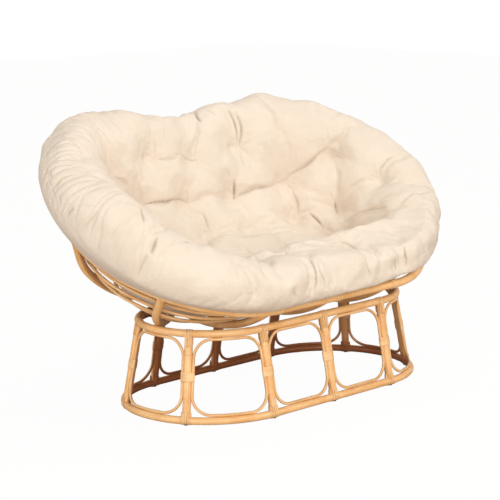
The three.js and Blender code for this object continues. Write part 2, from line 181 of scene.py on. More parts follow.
class Sketch:
    """A node tree and the few ways in which this lesson adds to it."""

    def __init__(self, tree):
        self.tree = tree

    def add(self, kind, settings=None, inputs=None):
        node = self.tree.nodes.new(kind)
        for key, value in (settings or {}).items():
            setattr(node, key, value)
        for key, value in (inputs or {}).items():
            self.feed(node.inputs[key], value)
        return node

    def feed(self, socket, value):
        if isinstance(value, Number):
            value = value.socket
        if isinstance(value, bpy.types.NodeSocket):
            self.tree.links.new(value, socket)
        else:
            socket.default_value = value

    def number(self, kind, settings=None, inputs=None, output=0):
        return Number(self, self.add(kind, settings, inputs).outputs[output])

    def socket(self, kind, settings=None, inputs=None, output=0):
        return self.add(kind, settings, inputs).outputs[output]

    def scaled(self, vector, factors):
        return self.socket("ShaderNodeVectorMath", {"operation": "MULTIPLY"}, {0: vector, 1: factors})

    def noise(self, vector, scale, detail=2.0, roughness=0.5):
        inputs = {"Vector": vector, "Scale": scale, "Detail": detail, "Roughness": roughness}
        return self.number("ShaderNodeTexNoise", None, inputs)

    def blend(self, factor, first, second, mode="MIX"):
        settings = {"data_type": "RGBA", "blend_type": mode}
        inputs = {"Factor": factor, 6: first, 7: second}
        return self.socket("ShaderNodeMix", settings, inputs, 2)


def new_material(name):
    material = bpy.data.materials.new(name)
    material.use_nodes = True
    material.node_tree.nodes.clear()
    sketch = Sketch(material.node_tree)
    surface = sketch.add("ShaderNodeBsdfPrincipled")
    output = sketch.add("ShaderNodeOutputMaterial", None, {"Surface": surface.outputs[0]})
    return material, sketch, surface, output


# %% [markdown]
# Rattan is a climbing palm. Its pole is round and solid, honey-coloured under a clear lacquer,
# with long fine streaks and, every hand's breadth or two, a joint: a thin brown scar with a
# slight swelling. The streaks must follow the pole round its bends, so they are drawn in the
# pole's own coordinates, kept on the mesh as the attribute "grain": two for the place round the
# section, one for the way along. "joint_gap" is the distance to the nearest joint.


# %% Rattan finishes
def rattan_finish(name, pale, honey, brown, streak_size=1.0, joints=True):
    material, sketch, surface, _ = new_material(name)
    grain = sketch.socket("ShaderNodeAttribute", {"attribute_name": "grain"}, None, 1)
    streaks = sketch.noise(sketch.scaled(grain, (1, 1, 0.012)), 900 * streak_size, 3, 0.6)
    patches = sketch.noise(sketch.scaled(grain, (1, 1, 0.35)), 38, 2, 0.55)
    stains = sketch.noise(sketch.scaled(grain, (1, 1, 0.12)), 70, 3, 0.6)
    tone = sketch.blend(patches.step(0.34, 0.66), (*pale, 1), (*honey, 1))
    tone = sketch.blend(streaks.step(0.45, 0.75) * 0.38, tone, (*brown, 1))
    tone = sketch.blend(stains.step(0.6, 0.8) * 0.4, tone, (*brown, 1))
    height = streaks * 0.35
    if joints:
        gap = sketch.number("ShaderNodeAttribute", {"attribute_name": "joint_gap"}, None, 2)
        scar = gap.near_zero(0.0016)
        bloom = gap.near_zero(0.010)
        tone = sketch.blend(bloom * 0.3, tone, (*pale, 1))
        tone = sketch.blend(scar * 0.24, tone, tuple(0.5 * c for c in brown) + (1,))
        height = height - scar * 1.2
    # Painted shade: sides that face the inside of the base, under the bowl, are darkened to a deep reddish
    # brown
    inner = sketch.number("ShaderNodeAttribute", {"attribute_name": "inner"}, None, 2)
    tone = sketch.blend(inner, tone, (0.31, 0.154, 0.082, 1), "MULTIPLY")
    sketch.feed(surface.inputs["Base Color"], tone)
    sketch.feed(surface.inputs["Roughness"], 0.4 + patches * 0.18)
    surface.inputs["Coat Weight"].default_value = 0.25
    surface.inputs["Coat Roughness"].default_value = 0.28
    bump = sketch.add("ShaderNodeBump", None, {"Strength": 0.35, "Distance": 0.0006, "Height": height})
    sketch.feed(surface.inputs["Normal"], bump.outputs[0])
    return material


pole_finish = rattan_finish("rattan_pole", (0.94, 0.58, 0.26), (0.84, 0.455, 0.165), (0.42, 0.17, 0.045))
cane_finish = rattan_finish("bent_cane", (0.88, 0.56, 0.26), (0.74, 0.41, 0.16), (0.36, 0.15, 0.04), 1.6)
peel_finish = rattan_finish(
    "rattan_peel", (0.92, 0.6, 0.29), (0.83, 0.48, 0.2), (0.42, 0.19, 0.06), 1.2, joints=False)
print("finishes", [finish.name for finish in (pole_finish, cane_finish, peel_finish)])

# %% [markdown]
# Every pole is a path and a radius, so one Geometry Nodes tree makes them all. It samples the
# path evenly, lets the pole wander a little as a grown thing does, swells it at the joints,
# sweeps a circle along it and keeps the grain coordinates on the mesh.

# %% Tree for a rattan pole
FLOAT, INT, GEOMETRY, MATERIAL, OBJECT = (
    "NodeSocketFloat", "NodeSocketInt", "NodeSocketGeometry", "NodeSocketMaterial", "NodeSocketObject",
)


def new_tree(name, inputs):
    tree = bpy.data.node_groups.new(name, "GeometryNodeTree")
    for label, kind in inputs:
        tree.interface.new_socket(name=label, in_out="INPUT", socket_type=kind)
    tree.interface.new_socket(name="Geometry", in_out="OUTPUT", socket_type=GEOMETRY)
    sketch = Sketch(tree)
    given = sketch.add("NodeGroupInput")
    values = {}
    for label, kind in inputs:
        socket = given.outputs[label]
        values[label] = Number(sketch, socket) if kind in (FLOAT, INT) else socket
    return sketch, values


def keep(sketch, geometry, name, value, kind="FLOAT"):
    settings = {"data_type": kind, "domain": "POINT"}
    inputs = {"Geometry": geometry, "Name": name, "Value": value}
    return sketch.socket("GeometryNodeStoreNamedAttribute", settings, inputs)


def read(sketch, name, kind="FLOAT"):
    return sketch.socket("GeometryNodeInputNamedAttribute", {"data_type": kind}, {"Name": name})


def keep_painted_inner_shade(sketch, mesh):
    """Keeps painted shade: how much each corner faces the inside of the stadium-shaped base, under the bowl.
    """
    spot = sketch.add("ShaderNodeSeparateXYZ", None, {0: sketch.socket("GeometryNodeInputPosition")})
    across = Number(sketch, spot.outputs[0]) - middle_x
    end = ring_half_length * mm
    nearest = across.math("MAXIMUM", across.math("MINIMUM", across, end), -end)
    beside = Number(sketch, spot.outputs[1]) - tipping_axis.y
    way = sketch.socket("ShaderNodeCombineXYZ", None, {0: across - nearest, 1: beside})
    way = sketch.socket("ShaderNodeVectorMath", {"operation": "NORMALIZE"}, {0: way})
    normal = sketch.socket("GeometryNodeInputNormal")
    facing = sketch.number("ShaderNodeVectorMath", {"operation": "DOT_PRODUCT"}, {0: way, 1: normal}, 1)

    # The uprights at both ends aren't under the bowl, so they get less of the painted shade
    at_end = across.math("ABSOLUTE", across).step(0.36, 0.44)
    far_out = at_end * Number(sketch, spot.outputs[2]).step(0.03, 0.06)
    return keep(sketch, mesh, "inner", (facing * -1).step(-0.15, 0.55) * (1 - far_out * 0.35))


def finish_tree(sketch, geometry, material):
    marked = keep_painted_inner_shade(sketch, geometry)
    smooth = sketch.socket("GeometryNodeSetShadeSmooth", None, {"Geometry": marked})
    plain = sketch.socket("GeometryNodeRealizeInstances", None, {"Geometry": smooth})
    dressed = sketch.socket("GeometryNodeSetMaterial", None, {"Geometry": plain, "Material": material})
    sketch.add("NodeGroupOutput", None, {0: dressed})


def grow_grain(sketch, mesh):
    """Keeps the grain coordinates on a swept mesh: x and y round the section, z along the path."""
    section = sketch.add("ShaderNodeSeparateXYZ", None, {0: read(sketch, "section", "FLOAT_VECTOR")})
    parts = {0: section.outputs[0], 1: section.outputs[1], 2: read(sketch, "along")}
    grain = sketch.socket("ShaderNodeCombineXYZ", None, parts)
    return keep(sketch, mesh, "grain", grain, "FLOAT_VECTOR")


def pole_tree():
    sketch, given = new_tree("rattan pole", (
        ("Geometry", GEOMETRY), ("Radius", FLOAT), ("Sides", INT), ("Sample Step", FLOAT),
        ("Joint Spacing", FLOAT), ("Joint Swell", FLOAT), ("Wander", FLOAT), ("Seed", INT),
        ("Material", MATERIAL),
    ))
    sampled = sketch.socket(
        "GeometryNodeResampleCurve", {"mode": "LENGTH"},
        {"Curve": given["Geometry"], "Length": given["Sample Step"]},
    )
    length = sketch.number("GeometryNodeSplineParameter", None, None, 1)
    which = sketch.socket("GeometryNodeCurveOfPoint")
    random = {3: 1.0, "ID": which, "Seed": given["Seed"]}
    phase = sketch.number("FunctionNodeRandomValue", {"data_type": "FLOAT"}, random, 1)

    # Joints stand at uneven distances, because the count along the pole is bent by a slow wave
    count = length / given["Joint Spacing"] + phase
    wave = (count * 2.3 + phase * 20).math("SINE", count * 2.3 + phase * 20) * 0.16
    place = count + wave
    gap = (place.math("FRACT", place) - 0.5) * given["Joint Spacing"]
    swell = gap.near_zero(0.007) * given["Joint Swell"]

    spot = sketch.socket("GeometryNodeInputPosition")
    drift = sketch.add("ShaderNodeTexNoise", {"noise_dimensions": "4D"},
                       {"Vector": spot, "W": phase * 9, "Scale": 5.0, "Detail": 1.0})
    centred = sketch.socket("ShaderNodeVectorMath", {"operation": "SUBTRACT"},
                            {0: drift.outputs[1], 1: (0.5, 0.5, 0.5)})
    pushed = sketch.socket("ShaderNodeVectorMath", {"operation": "SCALE"},
                           {0: centred, "Scale": given["Wander"]})
    curve = sketch.socket("GeometryNodeSetPosition", None, {"Geometry": sampled, "Offset": pushed})
    thickness = given["Radius"] * (1 + swell)
    curve = keep(sketch, curve, "along", length + phase * 5)
    curve = keep(sketch, curve, "joint_gap", gap)
    curve = keep(sketch, curve, "thickness", thickness)

    circle = sketch.socket("GeometryNodeCurvePrimitiveCircle", {"mode": "RADIUS"},
                           {"Resolution": given["Sides"], "Radius": 1.0})
    circle = keep(sketch, circle, "section", sketch.scaled(spot, (0.013, 0.013, 0.013)), "FLOAT_VECTOR")
    swept = sketch.socket("GeometryNodeCurveToMesh", None, {
        "Curve": curve, "Profile Curve": circle, "Scale": read(sketch, "thickness"), "Fill Caps": True,
    })
    finish_tree(sketch, grow_grain(sketch, swept), given["Material"])
    return sketch.tree


rattan_pole_tree = pole_tree()
print("rattan pole tree", len(rattan_pole_tree.nodes), "nodes")



# %% Running a tree
def run_tree(name, source, tree, values):
    """Mesh object called name, from the tree run on source, which is then removed."""
    modifier = source.modifiers.new("tree", "NODES")
    modifier.node_group = tree
    for item in tree.interface.items_tree:
        if item.in_out == "INPUT" and item.name in values:
            modifier[item.identifier] = values[item.name]
    shown = source.evaluated_get(bpy.context.evaluated_depsgraph_get())
    mesh = bpy.data.meshes.new_from_object(shown)
    mesh.name = name
    bpy.data.objects.remove(source)
    return place_mesh(name, mesh)


def place_mesh(name, mesh):
    piece = bpy.data.objects.new(name, mesh)
    bpy.context.scene.collection.objects.link(piece)
    return piece


def path_object(paths, closed):
    """Curve object of straight-sided splines through the points of each path."""
    curve = bpy.data.curves.new("paths", "CURVE")
    curve.dimensions = "3D"
    for path in paths:
        spline = curve.splines.new("POLY")
        spline.points.add(len(path) - 1)
        for point, place in zip(spline.points, path):
            point.co = (*place, 1)
        spline.use_cyclic_u = closed
    holder = bpy.data.objects.new("paths", curve)
    bpy.context.scene.collection.objects.link(holder)
    return holder


def wound_outward(mesh):
    """Turns every face round if the closed mesh has its faces to the inside."""
    edit = bmesh.new()
    edit.from_mesh(mesh)
    inside_out = edit.calc_volume(signed=True) < 0
    if inside_out:
        bmesh.ops.reverse_faces(edit, faces=edit.faces)
        edit.to_mesh(mesh)
    edit.free()
    return inside_out


def rattan(name, paths, radius, body, nodes, finish=None, closed=False, seed=1,
           spacing=0.23, swell=0.045, wander=0.003, sides=20, step=0.008):
    values = {
        "Radius": radius * mm, "Sides": sides, "Sample Step": step, "Joint Spacing": spacing,
        "Joint Swell": swell, "Wander": wander, "Seed": seed, "Material": finish or pole_finish,
    }
    piece = run_tree(name, path_object(paths, closed), rattan_pole_tree, values)
    turned = wound_outward(piece.data)
    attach(piece, body)
    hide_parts(*nodes)
    print(name, len(piece.data.polygons), "faces", "turned" if turned else "")
    return piece


# %% [markdown]
# The base is two stadium-shaped rings, ten uprights and a cane hoop in each bay. Each pole could be
# bent by hand as a curve, but the wall slopes out towards the floor, and everything on it has to
# follow. So a place on the wall is a function of its angle round the ring and its rise, and every
# path of the base asks that function.

# %% Base rings and uprights
pole_radius = 12.5
upright_radius = 12
upright_shown = 13.6  # a little thicker than the solid, as in the photograph
glide_height = 3
top_ring_radius = 242
bottom_ring_radius = 293
top_ring_height = 290
bottom_ring_height = glide_height + 0.3 + pole_radius * math.cos(math.pi / 8)
arc_steps = 60


def stadium(half_length, reach, height, place):
    path = []
    for end in (1, -1):
        for i in range(arc_steps + 1):
            angle = math.pi * i / arc_steps - math.pi / 2
            span = reach(angle) if callable(reach) else reach
            x, y = half_length + span * math.cos(angle), span * math.sin(angle)
            path.append(place(end * x, end * y, height))
    return path


top_ring = stadium(ring_half_length, top_ring_radius, top_ring_height, base_point)
bottom_ring = stadium(ring_half_length, bottom_ring_radius, bottom_ring_height, base_point)
rattan("base_top_ring_pole", [top_ring], pole_radius, "base", ["base_top_ring"],
       closed=True, seed=3, spacing=0.31, swell=0.03, wander=0.001)
rattan("base_bottom_ring_pole", [bottom_ring], pole_radius, "base", ["base_bottom_ring"],
       closed=True, seed=8, spacing=0.33, wander=0.002)

right_angle = math.pi / 2
end_angle = math.radians(30)
stations = [
    ("front_left", -1, -right_angle), ("front_middle", 0, -right_angle), ("front_right", 1, -right_angle),
    ("right_front", 1, -end_angle), ("right_back", 1, end_angle),
    ("back_right", 1, right_angle), ("back_middle", 0, right_angle), ("back_left", -1, right_angle),
    ("left_back", -1, math.pi - end_angle), ("left_front", -1, math.pi + end_angle),
]


def lerp(start, end, share):
    return start + (end - start) * share


def wall_point(centre, angle, rise, out=0.0):
    """Point on the base's wall. centre is in half lengths, rise is 0 at the bottom ring, 1 at the top."""
    radius = lerp(bottom_ring_radius, top_ring_radius, rise) + out
    height = lerp(bottom_ring_height, top_ring_height, rise)
    x, y = centre * ring_half_length + radius * math.cos(angle), radius * math.sin(angle)
    return base_point(x, y, height)


def wall_frame(centre, angle, rise):
    """Place on the wall as a matrix: x across the wall, y out of it and z up it."""
    foot = wall_point(centre, angle, rise)
    upward = (wall_point(centre, angle, rise + 0.1) - foot).normalized()
    across = Vector((-math.sin(angle), math.cos(angle), 0))
    outward = across.cross(upward).normalized()
    turned = Matrix((outward.cross(upward), outward, upward)).transposed().to_4x4()
    return Matrix.Translation(foot) @ turned


upright_paths = [[wall_point(c, a, r / 10) for r in range(11)] for _, c, a in stations]
rattan("base_uprights", upright_paths, upright_shown, "base", [f"upright_{n}" for n, _, _ in stations],
       seed=5, spacing=0.26, wander=0.003, swell=0.06)

# %% [markdown]
# Each bay holds a thin cane bent into a window with round corners. Bays on the ends are curved and
# those on the sides are flat, so the cane is drawn flat first, as a rounded rectangle, and then
# laid on the sloping, bending wall.

# %% Window canes
cane_radius = 5
corner_radius = 62
fit_gap = 0.3
wall_length = math.hypot(bottom_ring_radius - top_ring_radius, top_ring_height - bottom_ring_height)


def half_bay(start, end, rise):
    radius = lerp(bottom_ring_radius, top_ring_radius, rise)
    return (abs(end[1] - start[1]) * ring_half_length + radius * (end[2] - start[2])) / 2


def window_path(start, end):
    side_inset = upright_radius + cane_radius + fit_gap
    half_height = wall_length / 2 - pole_radius - cane_radius - fit_gap
    half_width = half_bay(start, end, 0.5) - side_inset
    flat = []
    for side, level, first in ((1, -1, -90), (1, 1, 0), (-1, 1, 90), (-1, -1, 180)):
        for i in range(13):
            angle = math.radians(first + 90 * i / 12)
            across = side * (half_width - corner_radius) + corner_radius * math.cos(angle)
            flat.append((across, level * (half_height - corner_radius) + corner_radius * math.sin(angle)))
        if side == level:
            flat += [(side * (half_width - corner_radius) * (1 - i / 6), level * half_height)
                     for i in range(1, 12)]
    path = []
    for across, along in flat:
        rise = 0.5 + along / wall_length
        half = half_bay(start, end, rise)
        share = (1 + across / half_width * (half - side_inset) / half) / 2
        path.append(wall_point(lerp(start[1], end[1], share), lerp(start[2], end[2], share), rise))
    return path


window_paths, window_nodes = [], []
for i, start in enumerate(stations):
    name, centre, angle = stations[(i + 1) % len(stations)]
    full_turn = 2 * math.pi if i == len(stations) - 1 else 0
    window_paths.append(window_path(start, (name, centre, angle + full_turn)))
    window_nodes.append(f"window_hoop_{start[0]}_to_{name}")
rattan("base_window_canes", window_paths, cane_radius, "base", window_nodes, cane_finish,
       closed=True, seed=4, spacing=0.3, swell=0.08, wander=0.0025, sides=14, step=0.006)

# %% [markdown]
# The bowl has a thick rim, three ribs bent from front to back, a hairpin rib under each end, and
# four thin hoops inside the ribs. All are drawn from the tipping axis and then tipped with it.

# %% Bowl rim and ribs
rim_radius = 14.5
rib_radius = 13.7
rib_solid_radius = 14
end_rib_feet = (-35, 16)
rattan("bowl_rim_pole", [stadium(rim_half_length, rim_end_radius, -rim_drop, bowl_point)],
       rim_radius, "bowl", ["bowl_rim"], closed=True, seed=11, spacing=0.36, wander=0.003)


def middle_rib(x):
    limit = math.acos(rim_drop / middle_rib_radius)
    return [bowl_point(x, middle_rib_radius * math.sin(a), -middle_rib_radius * math.cos(a))
            for a in np.linspace(-limit, limit, 60)]


for seed, (side, x) in enumerate((("left", -rim_half_length), ("middle", 0), ("right", rim_half_length))):
    rattan(f"bowl_rib_{side}_pole", [middle_rib(x)], rib_radius, "bowl", [f"bowl_rib_{side}"],
           seed=20 + seed, spacing=0.28)


def end_rib(end):
    turn_radius = 70
    turn_centre = rim_half_length - ring_half_length + 2 * rib_solid_radius + fit_gap + turn_radius
    reach = math.sqrt(end_rib_radius ** 2 - rim_drop ** 2)
    feet = [(reach * math.cos(a), reach * math.sin(a)) for a in map(math.radians, end_rib_feet)]
    touches = []
    for (x, y), side in zip(feet, (-1, 1)):
        away = math.hypot(x - turn_centre, y)
        touches.append(side * (abs(math.atan2(y, x - turn_centre)) + math.acos(turn_radius / away)))
    arc = [(turn_centre + turn_radius * math.cos(a), turn_radius * math.sin(a))
           for a in np.linspace(2 * math.pi + touches[0], touches[1], 30)]
    shares = np.linspace(1, 0, 24, endpoint=False)
    plan = [tuple(lerp(arc[0][k], feet[0][k], s) for k in (0, 1)) for s in shares] + arc
    plan += [tuple(lerp(arc[-1][k], feet[1][k], s) for k in (0, 1)) for s in shares[::-1]]
    return [bowl_point(end * (ring_half_length + x), y, -math.sqrt(end_rib_radius ** 2 - x * x - y * y))
            for x, y in plan]


for seed, (side, end) in enumerate((("left", -1), ("right", 1))):
    rattan(f"bowl_end_rib_{side}_pole", [end_rib(end)], rib_radius, "bowl", [f"bowl_end_rib_{side}"],
           seed=30 + seed, spacing=0.3, swell=0.02, wander=0.0006)

# %% [markdown]
# Thin canes run round the inside of the ribs, level with the rim. A plain stadium that touched the
# middle ribs would miss the end ribs, which lie farther out. So a hoop's reach changes with its
# angle, and it touches both.

# %% Bowl hoops
hoop_radius = 5.5
hoop_gap = 0.7
rim_angle = math.acos(rim_drop / rim_reach)
rib_flat = rib_solid_radius * math.cos(math.pi / 8)


def end_share(angle):
    """0 at the bowl's sides, 1 where its end ribs are, by the angle from the length axis."""
    return smooth_step((right_angle - abs(angle)) / (right_angle - math.radians(40)), 0, 1)


def inside_ribs(angle, turned, distance):
    share = end_share(angle) * smooth_step(turned, 0, math.radians(25))
    return lerp(middle_rib_radius, end_rib_radius, share) - distance


def hoop_path(share):
    inset = rib_flat + hoop_gap + hoop_radius
    drop = (middle_rib_radius - inset) * math.cos(rim_angle * share)

    def reach(angle):
        return math.sqrt(inside_ribs(angle, right_angle, inset) ** 2 - drop ** 2)

    return stadium(ring_half_length, reach, -drop, bowl_point)


hoops = [("upper", 0.8346), ("paired", 0.7394), ("lower", 0.6096), ("bottom", 0.3789)]
for seed, (level, share) in enumerate(hoops):
    rattan(f"bowl_hoop_{level}_cane", [hoop_path(share)], hoop_radius, "bowl", [f"bowl_hoop_{level}"],
           cane_finish, closed=True, seed=40 + seed, spacing=0.32, swell=0.07,
           wander=0.0015, sides=14, step=0.009)

# %% [markdown]
# Peel is the skin of the rattan, split into flat strips about 6 mm wide. It is wound round an
# upright and the canes beside it, and laid over the rings, several strips side by side. A bump
# could draw the strips on the pole, but their edges stand out against the light. So a strip is a
# row of cross-sections, slightly domed, that follows a path.

# %% Peel strips
peel_thickness = 1.3
seam = 0.25  # between two strips
dome = [(-0.5, 0.0), (-0.42, 0.75), (-0.2, 1.0), (0.2, 1.0), (0.42, 0.75), (0.5, 0.0)]


class Shape:
    """Corners, faces and grain of a mesh that is built up part by part."""

    def __init__(self):
        self.corners, self.faces, self.grain = [], [], []

    def sweep(self, rows, closed=False, length=0.0):
        """Adds a closed skin over rows of corners, each a loop, and caps its two ends."""
        first, count = len(self.corners), len(rows[0])
        walked = length
        for i, row in enumerate(rows):
            if i:
                walked += (Vector(row[0]) - Vector(rows[i - 1][0])).length
            self.corners += [tuple(v) for v in row]
            self.grain += [(0.011 * math.cos(6.3 * j / count), 0.011 * math.sin(6.3 * j / count), walked)
                           for j in range(count)]
        for i in range(len(rows) if closed else len(rows) - 1):
            here, following = first + i * count, first + (i + 1) % len(rows) * count
            self.faces += [(here + j, following + j, following + (j + 1) % count, here + (j + 1) % count)
                           for j in range(count)]
        if not closed:
            last = first + (len(rows) - 1) * count
            self.faces += [tuple(range(first, first + count)), tuple(range(last + count - 1, last - 1, -1))]

    def mesh(self, name, finish):
        mesh = bpy.data.meshes.new(name)
        mesh.from_pydata(self.corners, [], self.faces)
        mesh.attributes.new("grain", "FLOAT_VECTOR", "POINT").data.foreach_set(
            "vector", np.array(self.grain).ravel())
        mesh.polygons.foreach_set("use_smooth", [True] * len(mesh.polygons))
        mesh.materials.append(finish)
        wound_outward(mesh)
        return mesh


def strap_shape(ring, pole, leg_front, leg_back, strips=4, pitch=6.0):
    """Strips over a ring, with legs down a pole under it. The ring's middle is at 0, z is up the pole."""
    shape = Shape()
    for k in range(strips):
        across = (k - (strips - 1) / 2) * pitch
        leg = math.sqrt(max(1, (pole + 0.2) ** 2 - across ** 2))
        path = [(leg, -leg_front * (1 - i / 5)) for i in range(5)]
        bend = [math.radians(a) for a in range(-6, 187, 12)]
        path = [p for p in path if p[1] < -0.5 * ring]
        path += [((ring + 0.2) * math.cos(a), (ring + 0.2) * math.sin(a)) for a in bend]
        path += [p for p in [(-leg, -leg_back * (i + 1) / 5) for i in range(5)] if p[1] < -0.5 * ring]
        rows = []
        for i, (out, high) in enumerate(path):
            before, after = path[max(0, i - 1)], path[min(len(path) - 1, i + 1)]
            tangent = Vector((0, after[0] - before[0], after[1] - before[1])).normalized()
            normal = Vector((0, tangent.z, -tangent.y))
            end = 0.3 if i in (0, len(path) - 1) else 1
            rows.append([
                (Vector((across + u * (pitch - seam), out, high)) + normal * (v * peel_thickness * end)) * mm
                for u, v in dome
            ])
        shape.sweep(rows, length=k * 0.31)
    return shape


def band_shape(outline, height, turns):
    """Peel wound round a closed outline, turn upon turn. Each turn is a dome, and climbs as it goes."""
    shape = Shape()
    levels = turns * 8
    count = len(outline)
    rows = []
    for i in range(count):
        before, here, after = (Vector((*outline[(i + k) % count], 0)) for k in (-1, 0, 1))
        tangent = (after - before).normalized()
        normal = Vector((tangent.y, -tangent.x, 0))
        loop = [here + Vector((0, 0, -height / 2)), here + Vector((0, 0, height / 2))]
        for j in range(levels, -1, -1):
            share = j / levels
            bump = abs(math.sin(math.pi * (share * turns - i / count)))
            edge = min(1.0, 6 * min(share, 1 - share) + 0.35)
            out = (peel_thickness - 0.35 + 0.5 * bump ** 0.5) * edge
            loop.append(here + normal * out + Vector((0, 0, height * (share - 0.5))))
        rows.append([corner * mm for corner in loop])
    shape.sweep(rows, closed=True)
    return shape


def hull_outline(circles, steps=72):
    """Outline of a tight wrap round circles in a row: for each way, the farthest reach of any."""
    points = []
    for i in range(steps):
        angle = 2 * math.pi * i / steps
        way = (math.cos(angle), math.sin(angle))
        x, y, r = max(circles, key=lambda c: c[0] * way[0] + c[1] * way[1] + c[2])
        points.append((x + r * way[0], y + r * way[1]))
    return points


# %% [markdown]
# The same strap or band comes back at many joints, so a second tree copies one mesh to a list of
# places, each with its own turn, and shifts the grain so that no two look alike.


# %% Tree for repeats
def repeat_tree():
    sketch, given = new_tree("repeat at places", (
        ("Geometry", GEOMETRY), ("Piece", OBJECT), ("Seed", INT), ("Material", MATERIAL),
    ))
    source = sketch.socket("GeometryNodeObjectInfo", {"transform_space": "ORIGINAL"},
                           {"Object": given["Piece"]}, "Geometry")
    turned = sketch.socket("FunctionNodeEulerToRotation", None, {0: read(sketch, "turned", "FLOAT_VECTOR")})
    copies = sketch.socket("GeometryNodeInstanceOnPoints", None,
                           {"Points": given["Geometry"], "Instance": source, "Rotation": turned})
    random = {3: 9.0, "Seed": given["Seed"]}
    shift = sketch.socket("FunctionNodeRandomValue", {"data_type": "FLOAT"}, random, 1)
    marked = sketch.socket(
        "GeometryNodeStoreNamedAttribute", {"data_type": "FLOAT", "domain": "INSTANCE"},
        {"Geometry": copies, "Name": "shift", "Value": shift},
    )
    real = sketch.socket("GeometryNodeRealizeInstances", None, {"Geometry": marked})
    slid = sketch.socket("ShaderNodeCombineXYZ", None, {2: read(sketch, "shift")})
    grain = sketch.socket("ShaderNodeVectorMath", {"operation": "ADD"},
                          {0: read(sketch, "grain", "FLOAT_VECTOR"), 1: slid})
    finish_tree(sketch, keep(sketch, real, "grain", grain, "FLOAT_VECTOR"), given["Material"])
    return sketch.tree


repeats = repeat_tree()
print("repeat tree", len(repeats.nodes), "nodes")


def repeated(name, shape, frames, body, finish, nodes=(), seed=1):
    """Copies of one shape at the given frames, as one plain mesh."""
    model = place_mesh(name + "_model", shape.mesh(name + "_model", finish))
    spots = bpy.data.meshes.new(name + "_places")
    spots.from_pydata([tuple(f.translation) for f in frames], [], [])
    turns = np.array([tuple(f.to_euler()) for f in frames])
    spots.attributes.new("turned", "FLOAT_VECTOR", "POINT").data.foreach_set("vector", turns.ravel())
    piece = run_tree(name, place_mesh(name, spots), repeats,
                     {"Piece": model, "Seed": seed, "Material": finish})
    bpy.data.objects.remove(model)
    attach(piece, body)
    if nodes:
        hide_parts(*nodes)
    print(name, len(frames), "copies,", len(piece.data.polygons), "faces")
    return piece


# %% [markdown]
# Every upright is bound to the two canes beside it at mid height, and straps hide where it ends on
# both rings. One band and two straps are modelled, and the wall gives all their places.

# %% Peel on the base
middle_offset = upright_radius + cane_radius + fit_gap
round_three = [(0, 0, upright_shown + 0.2), (middle_offset, 0, cane_radius + 0.2),
               (-middle_offset, 0, cane_radius + 0.2)]
mid_frames = [wall_frame(c, a, 0.5) for _, c, a in stations]
repeated("base_peel_bands", band_shape(hull_outline(round_three), 32, 6), mid_frames, "base",
         peel_finish, [f"wrap_{n}" for n, _, _ in stations], 3)

flip = Matrix.Rotation(math.pi, 4, "Y")
top_frames = [wall_frame(c, a, 1) for _, c, a in stations]
bottom_frames = [wall_frame(c, a, 0) @ flip for _, c, a in stations]
repeated("base_top_straps", strap_shape(pole_radius, upright_shown, 44, 36), top_frames, "base",
         peel_finish, seed=5)
repeated("base_bottom_straps", strap_shape(pole_radius, upright_shown, 26, 24, strips=6), bottom_frames,
         "base", peel_finish, seed=6)


# %% [markdown]
# Sleeves of peel hold the ribs to the rim. A frame on a stadium needs only the angle, or the place
# along its straight side.


# %% Peel on the bowl
def rim_frame(x, angle):
    """Frame with z along the rim: at x on a straight side, or at an angle round an end."""
    end = math.copysign(1, math.cos(angle))
    centre = end * rim_half_length if abs(math.cos(angle)) > 1e-6 else x
    across, outward = centre + rim_end_radius * math.cos(angle), rim_end_radius * math.sin(angle)
    spot = bowl_point(across, outward, -rim_drop)
    beside = bowl_point(across - math.sin(angle), outward + math.cos(angle), -rim_drop)
    along = (beside - spot).normalized()
    above = (bowl_point(0, 0, 1) - bowl_point(0, 0, 0)).normalized()
    side = above.cross(along)
    return Matrix.Translation(spot) @ Matrix((side, above, along)).transposed().to_4x4()


def ring_outline(radius, steps=48):
    return [(radius * math.cos(2 * math.pi * i / steps), radius * math.sin(2 * math.pi * i / steps))
            for i in range(steps)]


rim_frames = [rim_frame(x, side * right_angle)
              for x in (-rim_half_length, 0, rim_half_length) for side in (-1, 1)]
rim_frames += [rim_frame(0, math.radians(a))
               for a in (*end_rib_feet, *(180 - foot for foot in end_rib_feet))]
repeated("bowl_rim_sleeves", band_shape(ring_outline(rim_radius + 0.3), 27, 5), rim_frames, "bowl",
         peel_finish, seed=7)

# %% [markdown]
# A small dark rubber foot under each upright keeps the chair off the floor. It is turned like a
# knob, from a few steps of radius and height.

# %% Foot glides
glide, sketch, surface, _ = new_material("rubber_glide")
surface.inputs["Base Color"].default_value = (0.018, 0.016, 0.015, 1)
surface.inputs["Roughness"].default_value = 0.55


def lathe_shape(profile, steps=32):
    """Solid turned from (radius, height) pairs, from its foot up."""
    shape = Shape()
    rows = [[Vector((*corner, height)) * mm for corner in ring_outline(radius, steps)]
            for radius, height in profile]
    shape.sweep(rows)
    return shape


glide_frames = [Matrix.Translation(wall_point(c, a, 0) * Vector((1, 1, 0))) for _, c, a in stations]
repeated("base_foot_glides", lathe_shape([(7.2, 0), (7.8, 0.5), (8, 1.2), (7.8, 3)]), glide_frames, "base",
         glide, [f"foot_glide_{n}" for n, _, _ in stations])

# %% [markdown]
# The cushion hangs over the rim in a thick soft roll. A box could be divided and sculpted into it,
# but then nothing would tie it to the bowl. Here a section stands on the bowl and goes round it,
# and changes on its way: crest is the angle of the roll's top seen from the tipping axis, and
# bulge is how far the roll stands out. Way counts round the cushion: 0 to 1 along the front from
# the left, then round the right end, along the back, and round the left end to 4.

